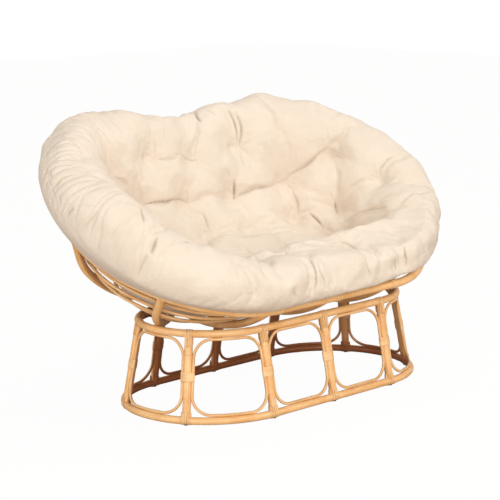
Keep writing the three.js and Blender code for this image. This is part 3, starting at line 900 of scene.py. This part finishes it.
# %% Cushion section
edge_places = [
    (0, 77, 0.98), (0.5, 74, 0.97), (1, 73, 0.94), (1.25, 76, 0.93), (1.4, 80, 1.01), (1.5, 86, 1.038),
    (1.62, 91.2, 1.034), (1.78, 92.3, 1.016), (2, 89, 0.99), (2.25, 89, 0.995), (2.5, 83, 0.98),
    (2.75, 88, 0.98), (3, 91, 1.0), (3.25, 95, 1.045), (3.5, 92, 1.08), (3.75, 82, 1.07), (4, 77, 0.98),
]
seat_thickness = 122
seat_crown = 12
underside_raise = 48
seat_fill = 30


def edge_at(way):
    k = next(i for i, place in enumerate(edge_places) if i and place[0] >= way)
    (low, crest, bulge), (high, next_crest, next_bulge) = edge_places[k - 1], edge_places[k]
    share = float(smooth_step(way, low, high))
    return lerp(crest, next_crest, share), lerp(bulge, next_bulge, share)


# How far the hem hangs over the rim at the left end and the front, in degrees round the sphere
hem_places = [
    (0, 1.7), (0.3, 0.8), (0.6, 0), (3.3, 0), (3.45, 2.4), (3.6, 3.6), (3.75, 3.2), (3.9, 2.4), (4, 1.7),
]


def share_round(way, ways, shares):
    """A share that changes evenly between the given ways."""
    return float(np.interp(way, ways, shares))


def station_at(way):
    """Where the section at this place stands: the centre it turns about, and its angle."""
    side, share = int(way) % 4, way % 1
    if side == 0:
        return ring_half_length * (2 * share - 1), -right_angle, right_angle
    if side == 1:
        angle = math.pi * share - right_angle
        return ring_half_length, angle, angle
    if side == 2:
        return ring_half_length * (1 - 2 * share), right_angle, right_angle
    angle = math.pi * share + right_angle
    return -ring_half_length, angle, math.pi * share - right_angle


def smooth_path(points, count):
    """Evenly spaced points on a smooth curve through the given ones."""
    points = np.array(points)
    padded = np.vstack((2 * points[0] - points[1], points, 2 * points[-1] - points[-2]))
    curve = []
    for i in range(len(points) - 1):
        a, b, c, d = padded[i:i + 4]
        for t in np.linspace(0, 1, 12, endpoint=False):
            bend = 2 * a - 5 * b + 4 * c - d + t * (3 * b - a - 3 * c + d)
            curve.append(b + 0.5 * t * (c - a + t * bend))
    curve = np.array(curve + [points[-1]])
    walked = np.concatenate(([0], np.cumsum(np.linalg.norm(np.diff(curve, axis=0), axis=1))))
    even = np.linspace(0, walked[-1], count)
    return np.stack([np.interp(even, walked, curve[:, k]) for k in range(curve.shape[1])], axis=1)


def cushion_section(way, count):
    """Points from the middle of the underside, round the roll, to the middle of the seat."""
    centre, angle, from_axis = station_at(way)
    crest, bulge = edge_at(way)

    def under(turned):
        return inside_ribs(from_axis, math.radians(turned), rib_flat + hoop_gap + 2 * hoop_radius + 0.5)

    raised = underside_raise * share_round(way, (0, 0.15, 3.15, 3.4, 3.9, 4), (0.7, 0, 0, 1, 1, 0.7))
    rows = [(under(t) - raised * share, t) for t, share in ((0, 0), (16, 0), (32, 0.3), (46, 0.9), (56, 1))]
    hem = share_round(way, *zip(*hem_places))
    tucked = share_round(way, (0.75, 1, 1.3, 1.45), (0, 1, 1, 0))
    filled = seat_fill * share_round(
        way, (0, 1, 1.3, 1.6, 3.15, 3.4, 3.75, 4), (1, 1.1, 0.8, 0.2, 0, 1, 1.3, 1))
    rows.append((min(rim_reach - 21, under(60.75) + 6.5) - 0.7 * raised, 60.75))
    if hem > 0.5:
        rows.append((rim_reach + 3, 63.2))
    rows += [
        (rim_reach + 18.7 + 1.5 * hem - 15 * tucked, 66 - 0.95 * hem + 1.2 * tucked),
        ((rim_reach + 38) * bulge, (66 + crest) / 2 - 0.7 * hem),
        ((rim_reach + 18) * bulge, crest - 4.5),
        (rim_reach - 44, crest), (rim_reach - 122 - 0.6 * filled, crest - 9),
    ]
    ends = 0.4 * share_round(
        way, (0, 0.3, 0.7, 0.95, 1.3, 1.6, 3.3, 3.6, 4), (0.6, 0.2, 0.4, 1.2, 1.2, 0, 0, 1, 0.6))
    shares = [(62, 1.2), (54, 1 + 0.3 * ends), (45, 0.5 + ends), (38, 0.2 + ends), (31, 0.6 * ends)]
    shares += [(24, 0), (16, 0), (8, 0), (0, 0)]
    rows += [(under(t) - seat_thickness - seat_crown - filled * share, t) for t, share in shares]
    flat = [(r * math.sin(math.radians(t)), -r * math.cos(math.radians(t))) for r, t in rows]
    flat = smooth_path(flat, count)
    return np.stack((
        centre + flat[:, 0] * math.cos(angle), flat[:, 0] * math.sin(angle), flat[:, 1],
    ), axis=1)


# %% [markdown]
# Threads pull the cover down at the tufts, and the cloth creases from tuft to tuft and over the
# roll. On the side that the photograph shows, they are listed as places in its 500 by 500
# picture, and found on the cushion by looking through the camera. A crease has a
# wide pull, which goes in before the cloth is blown up, and a crisp line, which comes after. A
# row holds the pull's depth and spread and the line's depth, in millimetres, and the course.

# %% Tufts and creases
tufts_seen = [
    (144, 204), (187, 203), (154, 158), (195, 159), (234, 197), (238, 145), (286, 182), (332, 154),
    (209, 231), (251, 226), (297, 215), (324, 228), (337, 206), (379, 176), (344, 225), (187, 241),
    (284, 245), (343, 241), (115, 178), (252, 252),
]
creases_seen = [
    (15, 24, 0, [(110, 130), (113, 142), (120, 152), (128, 163), (134, 170)]),
    (13, 11, 4, [(96, 167), (101, 172), (108, 177), (116, 178), (122, 179), (128, 184)]),
    (16, 15, 3, [(138, 177), (139, 190), (141, 197), (144, 204)]),
    (10, 9, 8, [(141, 206), (143, 213), (144, 221)]),
    (18, 12, 8, [(144, 204), (152, 203), (160, 202), (166, 202), (173, 200), (180, 199.5), (187, 203)]),
    (16, 9, 4, [(187, 192), (187, 203)]),
    (13, 14, 3, [(187, 203), (198, 200), (204, 196), (212, 194)]),
    (10, 14, 0, [(212, 194), (224, 195), (234, 197)]),
    (15, 10, 4, [(154, 138), (155, 150), (154, 158)]),
    (16, 12, 3, [(152, 159), (160, 159), (168, 160), (176, 159)]),
    (15, 9, 5, [(177, 155), (181, 154), (186, 159), (192, 161), (196, 160)]),
    (9, 7, 3, [(163, 120), (165, 130), (166, 138)]),
    (16, 9, 4, [(196, 116), (197, 130), (195, 145), (194, 158)]),
    (14, 8, 9, [(193, 110), (197, 117), (200, 121)]),
    (10, 16, 0, [(195, 160), (205, 168), (212, 174)]),
    (12, 9, 6, [(203, 213), (206, 220), (208, 226), (210, 232)]),
    (10, 12, 2, [(210, 231), (216, 234), (223, 238)]),
    (13, 16, 0, [(187, 205), (196, 210), (203, 213)]),
    (20, 8, 10, [(234.5, 182), (234.5, 192), (234, 199)]),
    (9, 8, 4, [(226, 170), (231, 178)]),
    (13, 9, 5, [(240, 152), (242, 160), (245, 166)]),
    (18, 11, 6, [(234, 198), (240, 195), (247, 192), (254, 188.5), (262, 187.5), (270, 186.5),
                 (278, 183), (285, 180)]),
    (17, 11, 6, [(285, 180), (290, 175), (298, 170), (305, 166), (310, 162), (316, 157),
                 (320, 153), (327, 149)]),
    (18, 8, 8, [(228, 110), (232, 117), (235, 124), (237, 132), (237, 140)]),
    (14, 7, 8, [(236, 113), (239.5, 120), (241.5, 128), (241.5, 136), (239, 145)]),
    (12, 7, 4, [(240, 147), (247, 143), (251, 141)]),
    (12, 14, 0, [(238, 147), (231, 148), (225, 150)]),
    (13, 9, 5, [(254, 95), (260, 100), (266, 106), (272, 112), (275, 120), (277, 127), (279, 131)]),
    (11, 16, 0, [(281, 133), (286, 141), (290, 147)]),
    (15, 12, 5, [(287, 184), (291, 188), (294, 195), (297, 202), (297.5, 208), (298, 215)]),
    (9, 12, 2, [(288, 218), (296, 219), (304, 218)]),
    (15, 8, 8, [(309, 213), (316, 219), (320, 223), (323.5, 227.5)]),
    (9, 5, 2, [(316, 211), (322, 216), (327, 221)]),
    (9, 5, 2, [(320, 207), (327, 212), (331, 218)]),
    (10, 14, 0, [(298, 216), (304, 211), (312, 209)]),
    (13, 8, 8, [(335, 202), (336, 208), (337.5, 213)]),
    (14, 16, 2, [(352, 118), (346, 130), (340, 140), (336, 147), (332, 154)]),
    (12, 18, 0, [(323, 126), (326, 140), (330, 150)]),
    (15, 12, 3, [(332, 154), (330, 160)]),
    (14, 12, 2, [(334, 153), (342, 155), (350, 160)]),
    (11, 16, 2, [(334, 160), (337, 175), (336, 190), (335, 202)]),
    (17, 14, 3, [(337, 200), (340, 198), (346, 193), (352, 186), (360, 181), (368, 179),
                 (376, 180.5), (380, 177)]),
    (17, 11, 6, [(380, 176), (380, 170), (384, 165), (388, 160), (394, 156.5)]),
    (11, 14, 0, [(394, 156.5), (403, 153), (407, 150)]),
    (8, 12, 0, [(371, 160), (374, 168), (379, 176)]),
    (17, 14, 4, [(342, 226), (346, 222), (352, 217), (360, 213), (370, 210), (382, 208),
                 (392, 206), (402, 205)]),
    (12, 8, 5, [(400, 203), (405, 199), (410, 195), (414, 192)]),
    (8, 9, 2, [(399, 208), (408, 205), (413, 202)]),
    (10, 6, 6, [(416, 194), (423, 193), (432, 191)]),
    (8, 5, 4, [(424, 190), (430, 188.5), (436, 189)]),
    (8, 6, 3, [(418, 198), (426, 196), (434, 195)]),
    (7, 7, 2, [(414, 205), (424, 204), (434, 205)]),
    (10, 6, 5, [(396, 227.5), (401, 226), (408, 227), (416, 229)]),
    (12, 14, 2, [(344, 226), (356, 229), (370, 231), (384, 231)]),
    (15, 12, 3, [(384, 231), (392, 234), (396, 240), (400, 247), (402, 252)]),
    (16, 8, 9, [(404, 247), (406, 254), (407, 260), (407, 266)]),
    (14, 8, 7, [(394.5, 257), (396, 262), (397, 271)]),
    (12, 7, 6, [(367, 264), (369, 270), (371, 278)]),
    (16, 10, 7, [(342, 242), (348, 243.5), (352, 246), (357, 250)]),
    (13, 10, 2, [(357, 240), (364, 246), (369, 252), (372, 260)]),
    (14, 14, 0, [(284, 245), (298, 243), (314, 242), (330, 241), (343, 241)]),
    (20, 10, 8, [(307, 254), (311, 261), (315, 268), (317, 275), (317, 283), (315, 291)]),
    (14, 7, 6, [(317, 261), (320, 268), (322, 274), (325, 280), (326, 288)]),
    (9, 6, 3, [(312, 272), (311, 280), (310, 289)]),
    (10, 6, 6, [(310.5, 289), (311, 298)]),
    (10, 6, 6, [(294, 289), (296, 298)]),
    (17, 14, 3, [(230, 262), (238, 263.5), (246, 266), (251, 271), (256, 278), (259, 286),
                 (259, 294), (255, 304)]),
    (12, 9, 3, [(232, 264), (236, 272), (238, 280)]),
    (9, 6, 2, [(240, 270), (245, 279), (247, 288)]),
    (10, 6, 5, [(232, 303), (238, 298), (243, 294)]),
    (9, 5, 4, [(256, 288), (256, 293)]),
    (9, 6, 4, [(247, 288), (248, 294), (255, 294)]),
    (10, 9, 6, [(246, 248), (250, 251.5), (254, 254)]),
    (15, 16, 2, [(237, 201), (243, 204), (249, 212), (252, 220), (251, 226)]),
    (15, 16, 2, [(253, 227), (262, 228), (268, 230), (274, 236), (278, 243), (281, 250)]),
    (14, 10, 5, [(284, 241), (285, 247)]),
    (12, 16, 0, [(284, 246), (270, 254), (258, 257), (246, 258), (232, 260)]),
    (14, 14, 3, [(172, 228), (180, 236), (187, 241)]),
    (14, 7, 8, [(184, 241), (190, 241)]),
    (11, 18, 0, [(190, 243), (205, 250), (220, 253), (236, 255), (250, 253)]),
    (12, 16, 0, [(144, 222), (156, 228), (172, 228)]),
    (13, 8, 7, [(156.5, 237), (154, 245), (151, 253)]),
    (11, 9, 5, [(147, 257), (141, 268), (138, 279)]),
    (8, 8, 3, [(143, 234), (140, 243), (134, 252)]),
    (11, 7, 8, [(44, 157), (47, 152), (51, 147), (57, 142)]),
    (7, 6, 4, [(48, 141), (56, 136), (68, 137)]),
    (8, 6, 5, [(68, 138), (76, 144), (81, 150), (84, 158)]),
    (7, 6, 4, [(76, 151), (81, 156), (84, 162)]),
    (7, 5, 4, [(62, 152), (70, 154), (76, 158)]),
    (7, 5, 3, [(84, 131), (92, 137), (99, 146)]),
    (8, 6, 5, [(48, 163), (58, 160), (68, 159)]),
    (9, 6, 7, [(48, 166), (45, 171), (43, 178)]),
    (8, 5, 6, [(49, 170), (51, 177)]),
    (9, 7, 6, [(50, 193), (56, 184), (62, 178), (72, 174)]),
    (8, 5, 5, [(58, 182), (56, 191)]),
    (7, 7, 3, [(72, 190), (80, 187), (92, 185)]),
    (8, 6, 6, [(62, 192), (59, 198), (60, 206)]),
    (8, 6, 5, [(55, 202), (57, 210), (60, 217)]),
    (9, 6, 7, [(66, 217), (69, 212), (73, 208)]),
    (8, 8, 3, [(84, 207), (97, 205), (112, 203)]),
    (9, 8, 5, [(80, 230), (88, 223), (93, 217), (98, 210)]),
    (8, 6, 5, [(78, 221), (77, 233)]),
    (7, 7, 3, [(66, 222), (72, 231), (79, 240)]),
    (7, 8, 2, [(98, 222), (95, 235), (92, 246)]),
    (6, 8, 0, [(112, 236), (110, 250), (112, 262)]),
    (7, 7, 4, [(60, 130), (51, 143), (47, 156), (46, 168), (49, 180), (53, 192), (57, 204), (62, 216)]),
    (5, 7, 3, [(62, 216), (70, 229), (79, 242), (90, 252)]),
    (7, 6, 3, [(75, 118), (72, 124), (66, 130)]),
    (8, 7, 4, [(98, 110), (100, 116)]),
    (9, 7, 5, [(206, 110), (211, 112), (216, 115)]),
]

# Where the camera can't see, as places on the section: way round, and row from 0 to 1
tufts_hidden = [(3.18, 0.73), (3.40, 0.80), (3.70, 0.80), (3.50, 0.90), (0.15, 0.88)]
creases_hidden = [
    (14, 14, 0, [(3.38, 0.60), (3.30, 0.67), (3.18, 0.73)]),
    (14, 12, 4, [(0.86, 0.66), (0.82, 0.60), (0.78, 0.54)]),
]
print(len(tufts_seen + tufts_hidden), "tufts,", len(creases_seen + creases_hidden), "creases")


def sight(x, y):
    """Direction in which the camera sees one place in the 500 by 500 picture."""
    focus = 500 * camera.data.lens / camera.data.sensor_width
    return (camera.matrix_world.to_3x3() @ Vector((x - 250, 250 - y, -focus))).normalized()


def seen_run(tree, course):
    """Points on the cushion under a course in the picture, every picture dot or two."""
    run = []
    for (x, y), (next_x, next_y) in zip(course, course[1:]):
        steps = max(1, round(math.hypot(next_x - x, next_y - y) / 1.2))
        run += [(lerp(x, next_x, i / steps), lerp(y, next_y, i / steps)) for i in range(steps)]
    run.append(course[-1])
    hits = [tree.ray_cast(camera.matrix_world.translation, sight(*place))[0] for place in run]
    return [hit for hit in hits if hit]


def tapered(points):
    """The share of a crease's depth at each of its points: less towards both ends."""
    if len(points) < 3:
        return np.ones(len(points))
    way = np.linspace(0.1, 0.9, len(points))
    return 0.4 + 0.6 * np.sin(np.pi * way)


def pressed(runs, places):
    """How deep each place is pressed in, in metres: a little deeper where creases meet."""
    total = np.zeros(len(places))
    for depth, width, points in runs:
        points = np.array(points)
        if len(points) == 0:
            continue
        low, high = points.min(axis=0) - 3 * width, points.max(axis=0) + 3 * width
        near = np.nonzero(np.all((places > low) & (places < high), axis=1))[0]
        gaps = np.linalg.norm(places[near, None] - points[None], axis=2)
        pull = depth * (tapered(points) * np.exp(-(gaps / width) ** 1.25)).max(axis=1)
        total[near] += pull ** 3
    return total ** (1 / 3)


def surface_tree(mesh, places):
    corners = [Vector(place) for place in places]
    return bvhtree.BVHTree.FromPolygons(corners, [tuple(face.vertices) for face in mesh.polygons])


# %% [markdown]
# The plain cushion is one skin round its solid's section, remeshed to small even squares. Each
# corner keeps its row and its place at rest as attributes, which later steps read after it has moved.

# %% Plain cushion
def plain_cushion(ways, count):
    sections = np.array([cushion_section(4 * i / ways, count) for i in range(ways)])
    corners = [tuple(bowl_point(*corner)) for section in sections for corner in section]
    faces = []
    for i in range(ways):
        here, following = i * count, (i + 1) % ways * count
        faces += [(here + j, following + j, following + j + 1, here + j + 1) for j in range(count - 1)]
    mesh = bpy.data.meshes.new("cushion_cover")
    mesh.from_pydata(corners, [], faces)
    mesh.validate()
    return np.array(corners), mesh


def modified(piece, kind, settings):
    """Replaces the piece's mesh by what one modifier makes of it."""
    modifier = piece.modifiers.new("change", kind)
    for key, value in settings.items():
        setattr(modifier, key, value)
    shown = piece.evaluated_get(bpy.context.evaluated_depsgraph_get())
    mesh = bpy.data.meshes.new_from_object(
        shown, preserve_all_data_layers=True, depsgraph=bpy.context.evaluated_depsgraph_get())
    piece.modifiers.clear()
    piece.data = mesh


def places_and_normals(mesh):
    places = np.empty(len(mesh.vertices) * 3)
    mesh.vertices.foreach_get("co", places)
    normals = np.empty(len(mesh.vertices) * 3)
    mesh.vertex_normals.foreach_get("vector", normals)
    return places.reshape(-1, 3), normals.reshape(-1, 3)


def move_to(mesh, places):
    mesh.vertices.foreach_set("co", places.ravel())
    mesh.update()


def write_share(mesh, name, values):
    mesh.attributes.new(name, "FLOAT", "POINT").data.foreach_set("value", values)


def read_share(mesh, name):
    values = np.empty(len(mesh.vertices))
    mesh.attributes[name].data.foreach_get("value", values)
    return values


station_count = 400
row_count = 80
soft_rows = (0.44, 0.52)  # the hem's rows: under them the cover lies in the bowl, past them it moves
grid, cover = plain_cushion(station_count, row_count)
cushion = place_mesh("cushion_cover", cover)
wound_outward(cushion.data)
modified(cushion, "REMESH", {"mode": "VOXEL", "voxel_size": 0.008, "use_smooth_shade": True})
modified(cushion, "SMOOTH", {"factor": 0.5, "iterations": 4})
rest, rest_normals = places_and_normals(cushion.data)

grid_tree = kdtree.KDTree(len(grid))
for i, corner in enumerate(grid):
    grid_tree.insert(corner, i)
grid_tree.balance()
row_share = np.zeros(len(rest))
for i, place in enumerate(rest):
    found = grid_tree.find_n(place, 3)
    weights = [1 / (distance + 1e-4) for _, _, distance in found]
    rows = [corner % row_count for _, corner, _ in found]
    row_share[i] = sum(w * row for w, row in zip(weights, rows)) / sum(weights) / (row_count - 1)
soft = smooth_step(row_share, *soft_rows)
print("plain cushion", len(rest), "corners")

# %% [markdown]
# The tufts and the wide pulls go in first. The creases are looked for on a cover that already
# stands out a little, as it will when it is blown up.

# %% Tufts and pulls
def on_grid(place):
    """Place on the plain grid at one way and row, between its corners."""
    along, up = place[0] % 4 / 4 * station_count, place[1] * (row_count - 1)
    i, j = int(along), min(int(up), row_count - 2)
    here, following = (i % station_count * row_count + j, (i + 1) % station_count * row_count + j)
    near, far = (lerp(grid[corner], grid[corner + 1], up - j) for corner in (here, following))
    return lerp(near, far, along - i)


def grid_run(course):
    run = []
    for (way, row), (next_way, next_row) in zip(course, course[1:]):
        run += [on_grid((lerp(way, next_way, i / 24), lerp(row, next_row, i / 24))) for i in range(24)]
    return run


stands_out = 0.012
tuft_depth, tuft_spread = 0.046, 0.034
deeper, wider = 1.6, 1.15  # because the cloth fills up part of every crease again
plump = surface_tree(cushion.data, rest + rest_normals * (stands_out * soft)[:, None])
pulls = [(deeper * depth * mm, wider * width * mm, seen_run(plump, course))
         for depth, width, _, course in creases_seen]
pulls += [(depth * mm, width * mm, grid_run(course)) for depth, width, _, course in creases_hidden]
pulls += [(tuft_depth, tuft_spread, seen_run(plump, [place, place])) for place in tufts_seen]
pulls += [(tuft_depth, tuft_spread, [on_grid(place)]) for place in tufts_hidden]
depth = pressed(pulls, rest)
lumps = np.array([noise.noise(Vector(p) * 9) + 0.5 * noise.noise(Vector(p) * 21) for p in rest])
move_to(cushion.data, rest - rest_normals * ((depth - 0.005 * lumps) * soft)[:, None])
print("pressed in by up to", round(depth.max() * 1000), "mm")


# %% [markdown]
# The cover is cloth, blown up from inside and held at the tufts, in the deepest creases and where
# it lies in the bowl. A little more cloth than the shape needs makes it pucker. The simulation
# runs over twenty steps, and no point may move farther than the cap.

# %% Cloth
def puffed(piece, held, pressure, spare, cap, steps=20):
    group = piece.vertex_groups.new(name="held")
    for level in range(1, 11):
        chosen = np.nonzero((held > (level - 0.5) / 10) & (held <= (level + 0.5) / 10))[0]
        group.add([int(i) for i in chosen], level / 10, "REPLACE")
    before, _ = places_and_normals(piece.data)
    modifier = piece.modifiers.new("cloth", "CLOTH")
    settings = modifier.settings
    settings.quality = 4
    settings.mass = 0.3
    settings.tension_stiffness = 12
    settings.compression_stiffness = 12
    settings.shear_stiffness = 4
    settings.bending_stiffness = 0.25
    settings.use_pressure = True
    settings.uniform_pressure_force = pressure
    settings.shrink_min = -spare
    settings.vertex_group_mass = "held"
    settings.effector_weights.gravity = 0
    modifier.collision_settings.use_collision = False
    scene = bpy.context.scene
    for step in range(1, steps + 1):
        scene.frame_set(step)
    shown = piece.evaluated_get(bpy.context.evaluated_depsgraph_get())
    mesh = bpy.data.meshes.new_from_object(shown)
    after, _ = places_and_normals(mesh)
    bpy.data.meshes.remove(mesh)
    piece.modifiers.clear()
    piece.vertex_groups.clear()
    scene.frame_set(1)
    moved = after - before
    distance = np.linalg.norm(moved, axis=1)
    share = np.minimum(1, cap / np.maximum(distance, 1e-9))
    move_to(piece.data, before + moved * share[:, None])
    farthest, average = distance.max() / mm, distance.mean() / mm
    print("cloth moved the cover by up to", round(farthest), "mm, mean", round(average, 1))


held = 1 - smooth_step(row_share, 0.43, 0.49)
held = np.maximum(held, smooth_step(depth, 0.016, 0.032))
puffed(cushion, held, pressure=3.5, spare=0.02, cap=0.024)
modified(cushion, "SMOOTH", {"factor": 0.5, "iterations": 3})

# %% [markdown]
# The filling has settled a little away from even: some places are nudged across the picture,
# by picture dots to the right and up, fading over a reach in millimetres. Then the mesh is
# divided once, for the fine folds.

# %% Settling
nudges = [
    (50, 128, 4.5, -7, 60), (43, 152, 7, 0, 50), (72, 120, 0, -3, 50), (118, 114, 0, -1, 60),
    (150, 120, 0, -3.5, 40), (172, 124, 0, 8, 28), (184, 119, 0, 5, 28), (200, 111, 0, -4, 45),
    (255, 101, 0, 8, 70), (300, 104, 0, -2, 60), (335, 114, -1, -4, 60), (350, 120, -2, -3, 50),
    (372, 131, -4, -8, 70), (395, 146, -1, -2, 50), (441, 200, 5, 1, 60), (432, 256, -4, 3, 50),
    (52, 212, 1, 1, 45),
]
sideways, upwards = (camera.matrix_world.to_3x3() @ Vector(axis) for axis in ((1, 0, 0), (0, 1, 0)))
dot_size = camera_distance * camera.data.sensor_width / camera.data.lens / 500
places, _ = places_and_normals(cushion.data)
settled = surface_tree(cushion.data, places)
for x, y, across, rise, reach in nudges:
    for anchor in seen_run(settled, [(x, y), (x, y)])[:1]:
        gap = (places - np.array(anchor)) @ np.array((sideways, upwards, 0.3 * sideways.cross(upwards))).T
        fade = np.exp(-(gap ** 2).sum(axis=1) / (reach * mm) ** 2) * soft
        places += fade[:, None] * np.array((sideways * across + upwards * rise) * dot_size)
move_to(cushion.data, places)
write_share(cushion.data, "row", row_share)
for axis in range(3):
    write_share(cushion.data, "rest_" + "xyz"[axis], rest[:, axis])
modified(cushion, "SUBSURF", {"levels": 1, "render_levels": 1, "subdivision_type": "CATMULL_CLARK"})
print("divided to", len(cushion.data.vertices), "corners")

# %% [markdown]
# Crisp lines come last, because the simulation's mesh is too coarse for them: the creases above
# once more, and where the camera sees less, gathers across the roll and short puckers round the
# tufts, laid out at random, always from the same seed. The depth of the crisp lines stays on the
# mesh as an attribute, which paints shade into the bottom of each fold.

# %% Fine folds
random = np.random.RandomState(12)


def gathers(first, last, count, rows, depth, width, slant=0.02):
    """Short folds across the roll, spread from one place round the cushion to another."""
    made = []
    for i in range(count):
        way = lerp(first, last, (i + random.uniform(0.1, 0.9)) / count)
        start = rows[0] + random.uniform(0, 0.05)
        end = rows[1] - random.uniform(0, 0.09)
        lean = random.normal(0, slant)
        course = [(way, start), (way + lean * 0.4, (start + end) / 2), (way + lean, end)]
        made.append((depth * random.uniform(0.35, 1), width * random.uniform(0.7, 1.3), course))
    return made


def puckers(x, y, count):
    """Short creases that run out from a tuft, in the picture."""
    made = []
    for i in range(count):
        angle = 2 * math.pi * (i + random.uniform(0.1, 0.9)) / count
        reach = random.uniform(5, 13)
        course = [(x + k * reach * math.cos(angle), y + k * reach * math.sin(angle))
                  for k in (0.25, 0.6, 1)]
        made.append((random.uniform(1.5, 3.5), random.uniform(3.5, 5.5), course))
    return made


places, normals = places_and_normals(cushion.data)
rest_fine = np.stack([read_share(cushion.data, "rest_" + axis) for axis in "xyz"], axis=1)
soft = smooth_step(read_share(cushion.data, "row"), *soft_rows)
shown_tree = surface_tree(cushion.data, places)
crisp = [(1.1 * line * mm, 0.003 if line < 6 else 0.0042, seen_run(shown_tree, course))
         for _, _, line, course in creases_seen if line]
crisp_depth = pressed(crisp, places)

loose = []
for tuft in tufts_seen:
    loose += puckers(*tuft, 7)
loose = [(d * mm, w * mm, seen_run(shown_tree, course)) for d, w, course in loose]
hidden = gathers(3.0, 3.7, 41, (0.46, 0.66), 8, 6)
hidden += gathers(0.05, 0.75, 14, (0.45, 0.52), 4, 6, 0.06)
hidden += gathers(1.2, 2.95, 26, (0.45, 0.60), 4, 9)
hidden = [(d * mm, w * mm, grid_run(course)) for d, w, course in hidden]
fold_depth = (pressed(loose, places) ** 3 + pressed(hidden, rest_fine) ** 3 + crisp_depth ** 3) ** (1 / 3)
fold_depth += 0.0022 * np.array([noise.noise(Vector(p) * 24) for p in rest_fine])
move_to(cushion.data, places - normals * (fold_depth * soft)[:, None])
# Painted shade: the depth of the crisp lines is kept to darken the bottom of each fold
write_share(cushion.data, "painted_crease_shade", np.clip(crisp_depth / 0.008, 0, 1) * soft)
for axis in "xyz":
    cushion.data.attributes.remove(cushion.data.attributes["rest_" + axis])
print(len(crisp), "crisp lines,", len(loose), "puckers,", len(hidden), "gathers")

# %% [markdown]
# Unbleached cotton: cream, matt, with a faint unevenness of its own, and painted shade in the creases.
# The weave is far finer than the picture, so the bump gives only the soft crumple of the cloth.

# %% Cotton
cotton, sketch, surface, _ = new_material("cushion_cotton")
spot = sketch.socket("ShaderNodeTexCoord", None, None, 3)
# Painted shade: the bottom of each crisp crease is darkened towards brown
painted_crease_shade = sketch.number("ShaderNodeAttribute", {"attribute_name": "painted_crease_shade"}, None, 2)
cloudy = sketch.noise(spot, 6, 3, 0.6)
crumple = sketch.noise(spot, 34, 4, 0.6)
weave = sketch.noise(spot, 420, 2, 0.5)
tone = sketch.blend(cloudy.step(0.35, 0.65), (0.735, 0.632, 0.518, 1), (0.705, 0.602, 0.489, 1))
tone = sketch.blend(painted_crease_shade * painted_crease_shade * 0.85, tone, (0.24, 0.15, 0.08, 1))
sketch.feed(surface.inputs["Base Color"], tone)
surface.inputs["Roughness"].default_value = 0.92
folds = {"Strength": 0.8, "Distance": 0.0055, "Height": crumple + weave * 0.1}
bump = sketch.add("ShaderNodeBump", None, folds)
sketch.feed(surface.inputs["Normal"], bump.outputs[0])
cushion.data.materials.clear()
cushion.data.materials.append(cotton)
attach(cushion, "cushion")
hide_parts("cushion")
print("cotton", len(cotton.node_tree.nodes), "nodes")

# %% [markdown]
# A studio for the chair: a pale floor that keeps a soft shadow, a large key light low on the left
# of the camera, weaker ones high on its right, above the seat and low at the chair's left end, and
# a plain bright room. The floor shows white to the camera through Light Path, without more light
# falling on the chair.

# %% Floor, room and lights
floor_material, sketch, surface, output = new_material("studio_floor")
surface.inputs["Base Color"].default_value = (0.44, 0.36, 0.3, 1)
surface.inputs["Roughness"].default_value = 0.9
glow = sketch.socket("ShaderNodeEmission", None, {"Color": (1, 1, 1, 1), "Strength": 1.04})
seen = sketch.number("ShaderNodeLightPath")
mixed = sketch.socket("ShaderNodeMixShader", None, {0: seen * 0.93, 1: surface.outputs[0], 2: glow})
sketch.feed(output.inputs[0], mixed)

floor_mesh = bpy.data.meshes.new("studio_floor")
half = 12
floor_corners = [(x * half, y * half, 0) for x, y in ((-1, -1), (1, -1), (1, 1), (-1, 1))]
floor_mesh.from_pydata(floor_corners, [], [(0, 1, 2, 3)])
floor = place_mesh("studio_floor", floor_mesh)
floor.data.materials.append(floor_material)
floor.location.z = -0.0004

world = bpy.data.worlds.new("studio")
world.use_nodes = True
bpy.context.scene.world = world
room = Sketch(world.node_tree)
world.node_tree.nodes.clear()
path = room.add("ShaderNodeLightPath")
seen = Number(room, path.outputs["Is Camera Ray"])
lit = room.socket("ShaderNodeBackground", None, {"Color": (1, 0.98, 0.96, 1), "Strength": 0.61})
shown = room.socket("ShaderNodeBackground", None, {"Color": (1, 1, 1, 1), "Strength": 1.0})
mixed = room.socket("ShaderNodeMixShader", None, {0: seen, 1: lit, 2: shown})
room.add("ShaderNodeOutputWorld", None, {"Surface": mixed})


def studio_light(name, place, aim, size, power, colour=(1, 1, 1)):
    light = bpy.data.lights.new(name, "AREA")
    light.shape = "DISK"
    light.size = size
    light.energy = power
    light.color = colour
    holder = bpy.data.objects.new(name, light)
    holder.location = place
    holder.rotation_euler = (Vector(aim) - Vector(place)).to_track_quat("-Z", "Y").to_euler()
    bpy.context.scene.collection.objects.link(holder)
    print(name, power, "watts")


studio_light("key_light", (-2.9, -3.9, 1.2), (0, 0, 0.4), 2.4, 101, (1, 0.985, 0.96))
studio_light("side_light", (1.6, -3.9, 2.6), (0, 0, 0.5), 1.8, 58)
studio_light("left_light", (-3.6, 0.7, 0.4), (-0.6, 0, 0.65), 1.6, 36, (0.9, 0.95, 1))
studio_light("top_light", (0.2, -0.4, 4.2), (0, 0, 0.5), 2.4, 48)
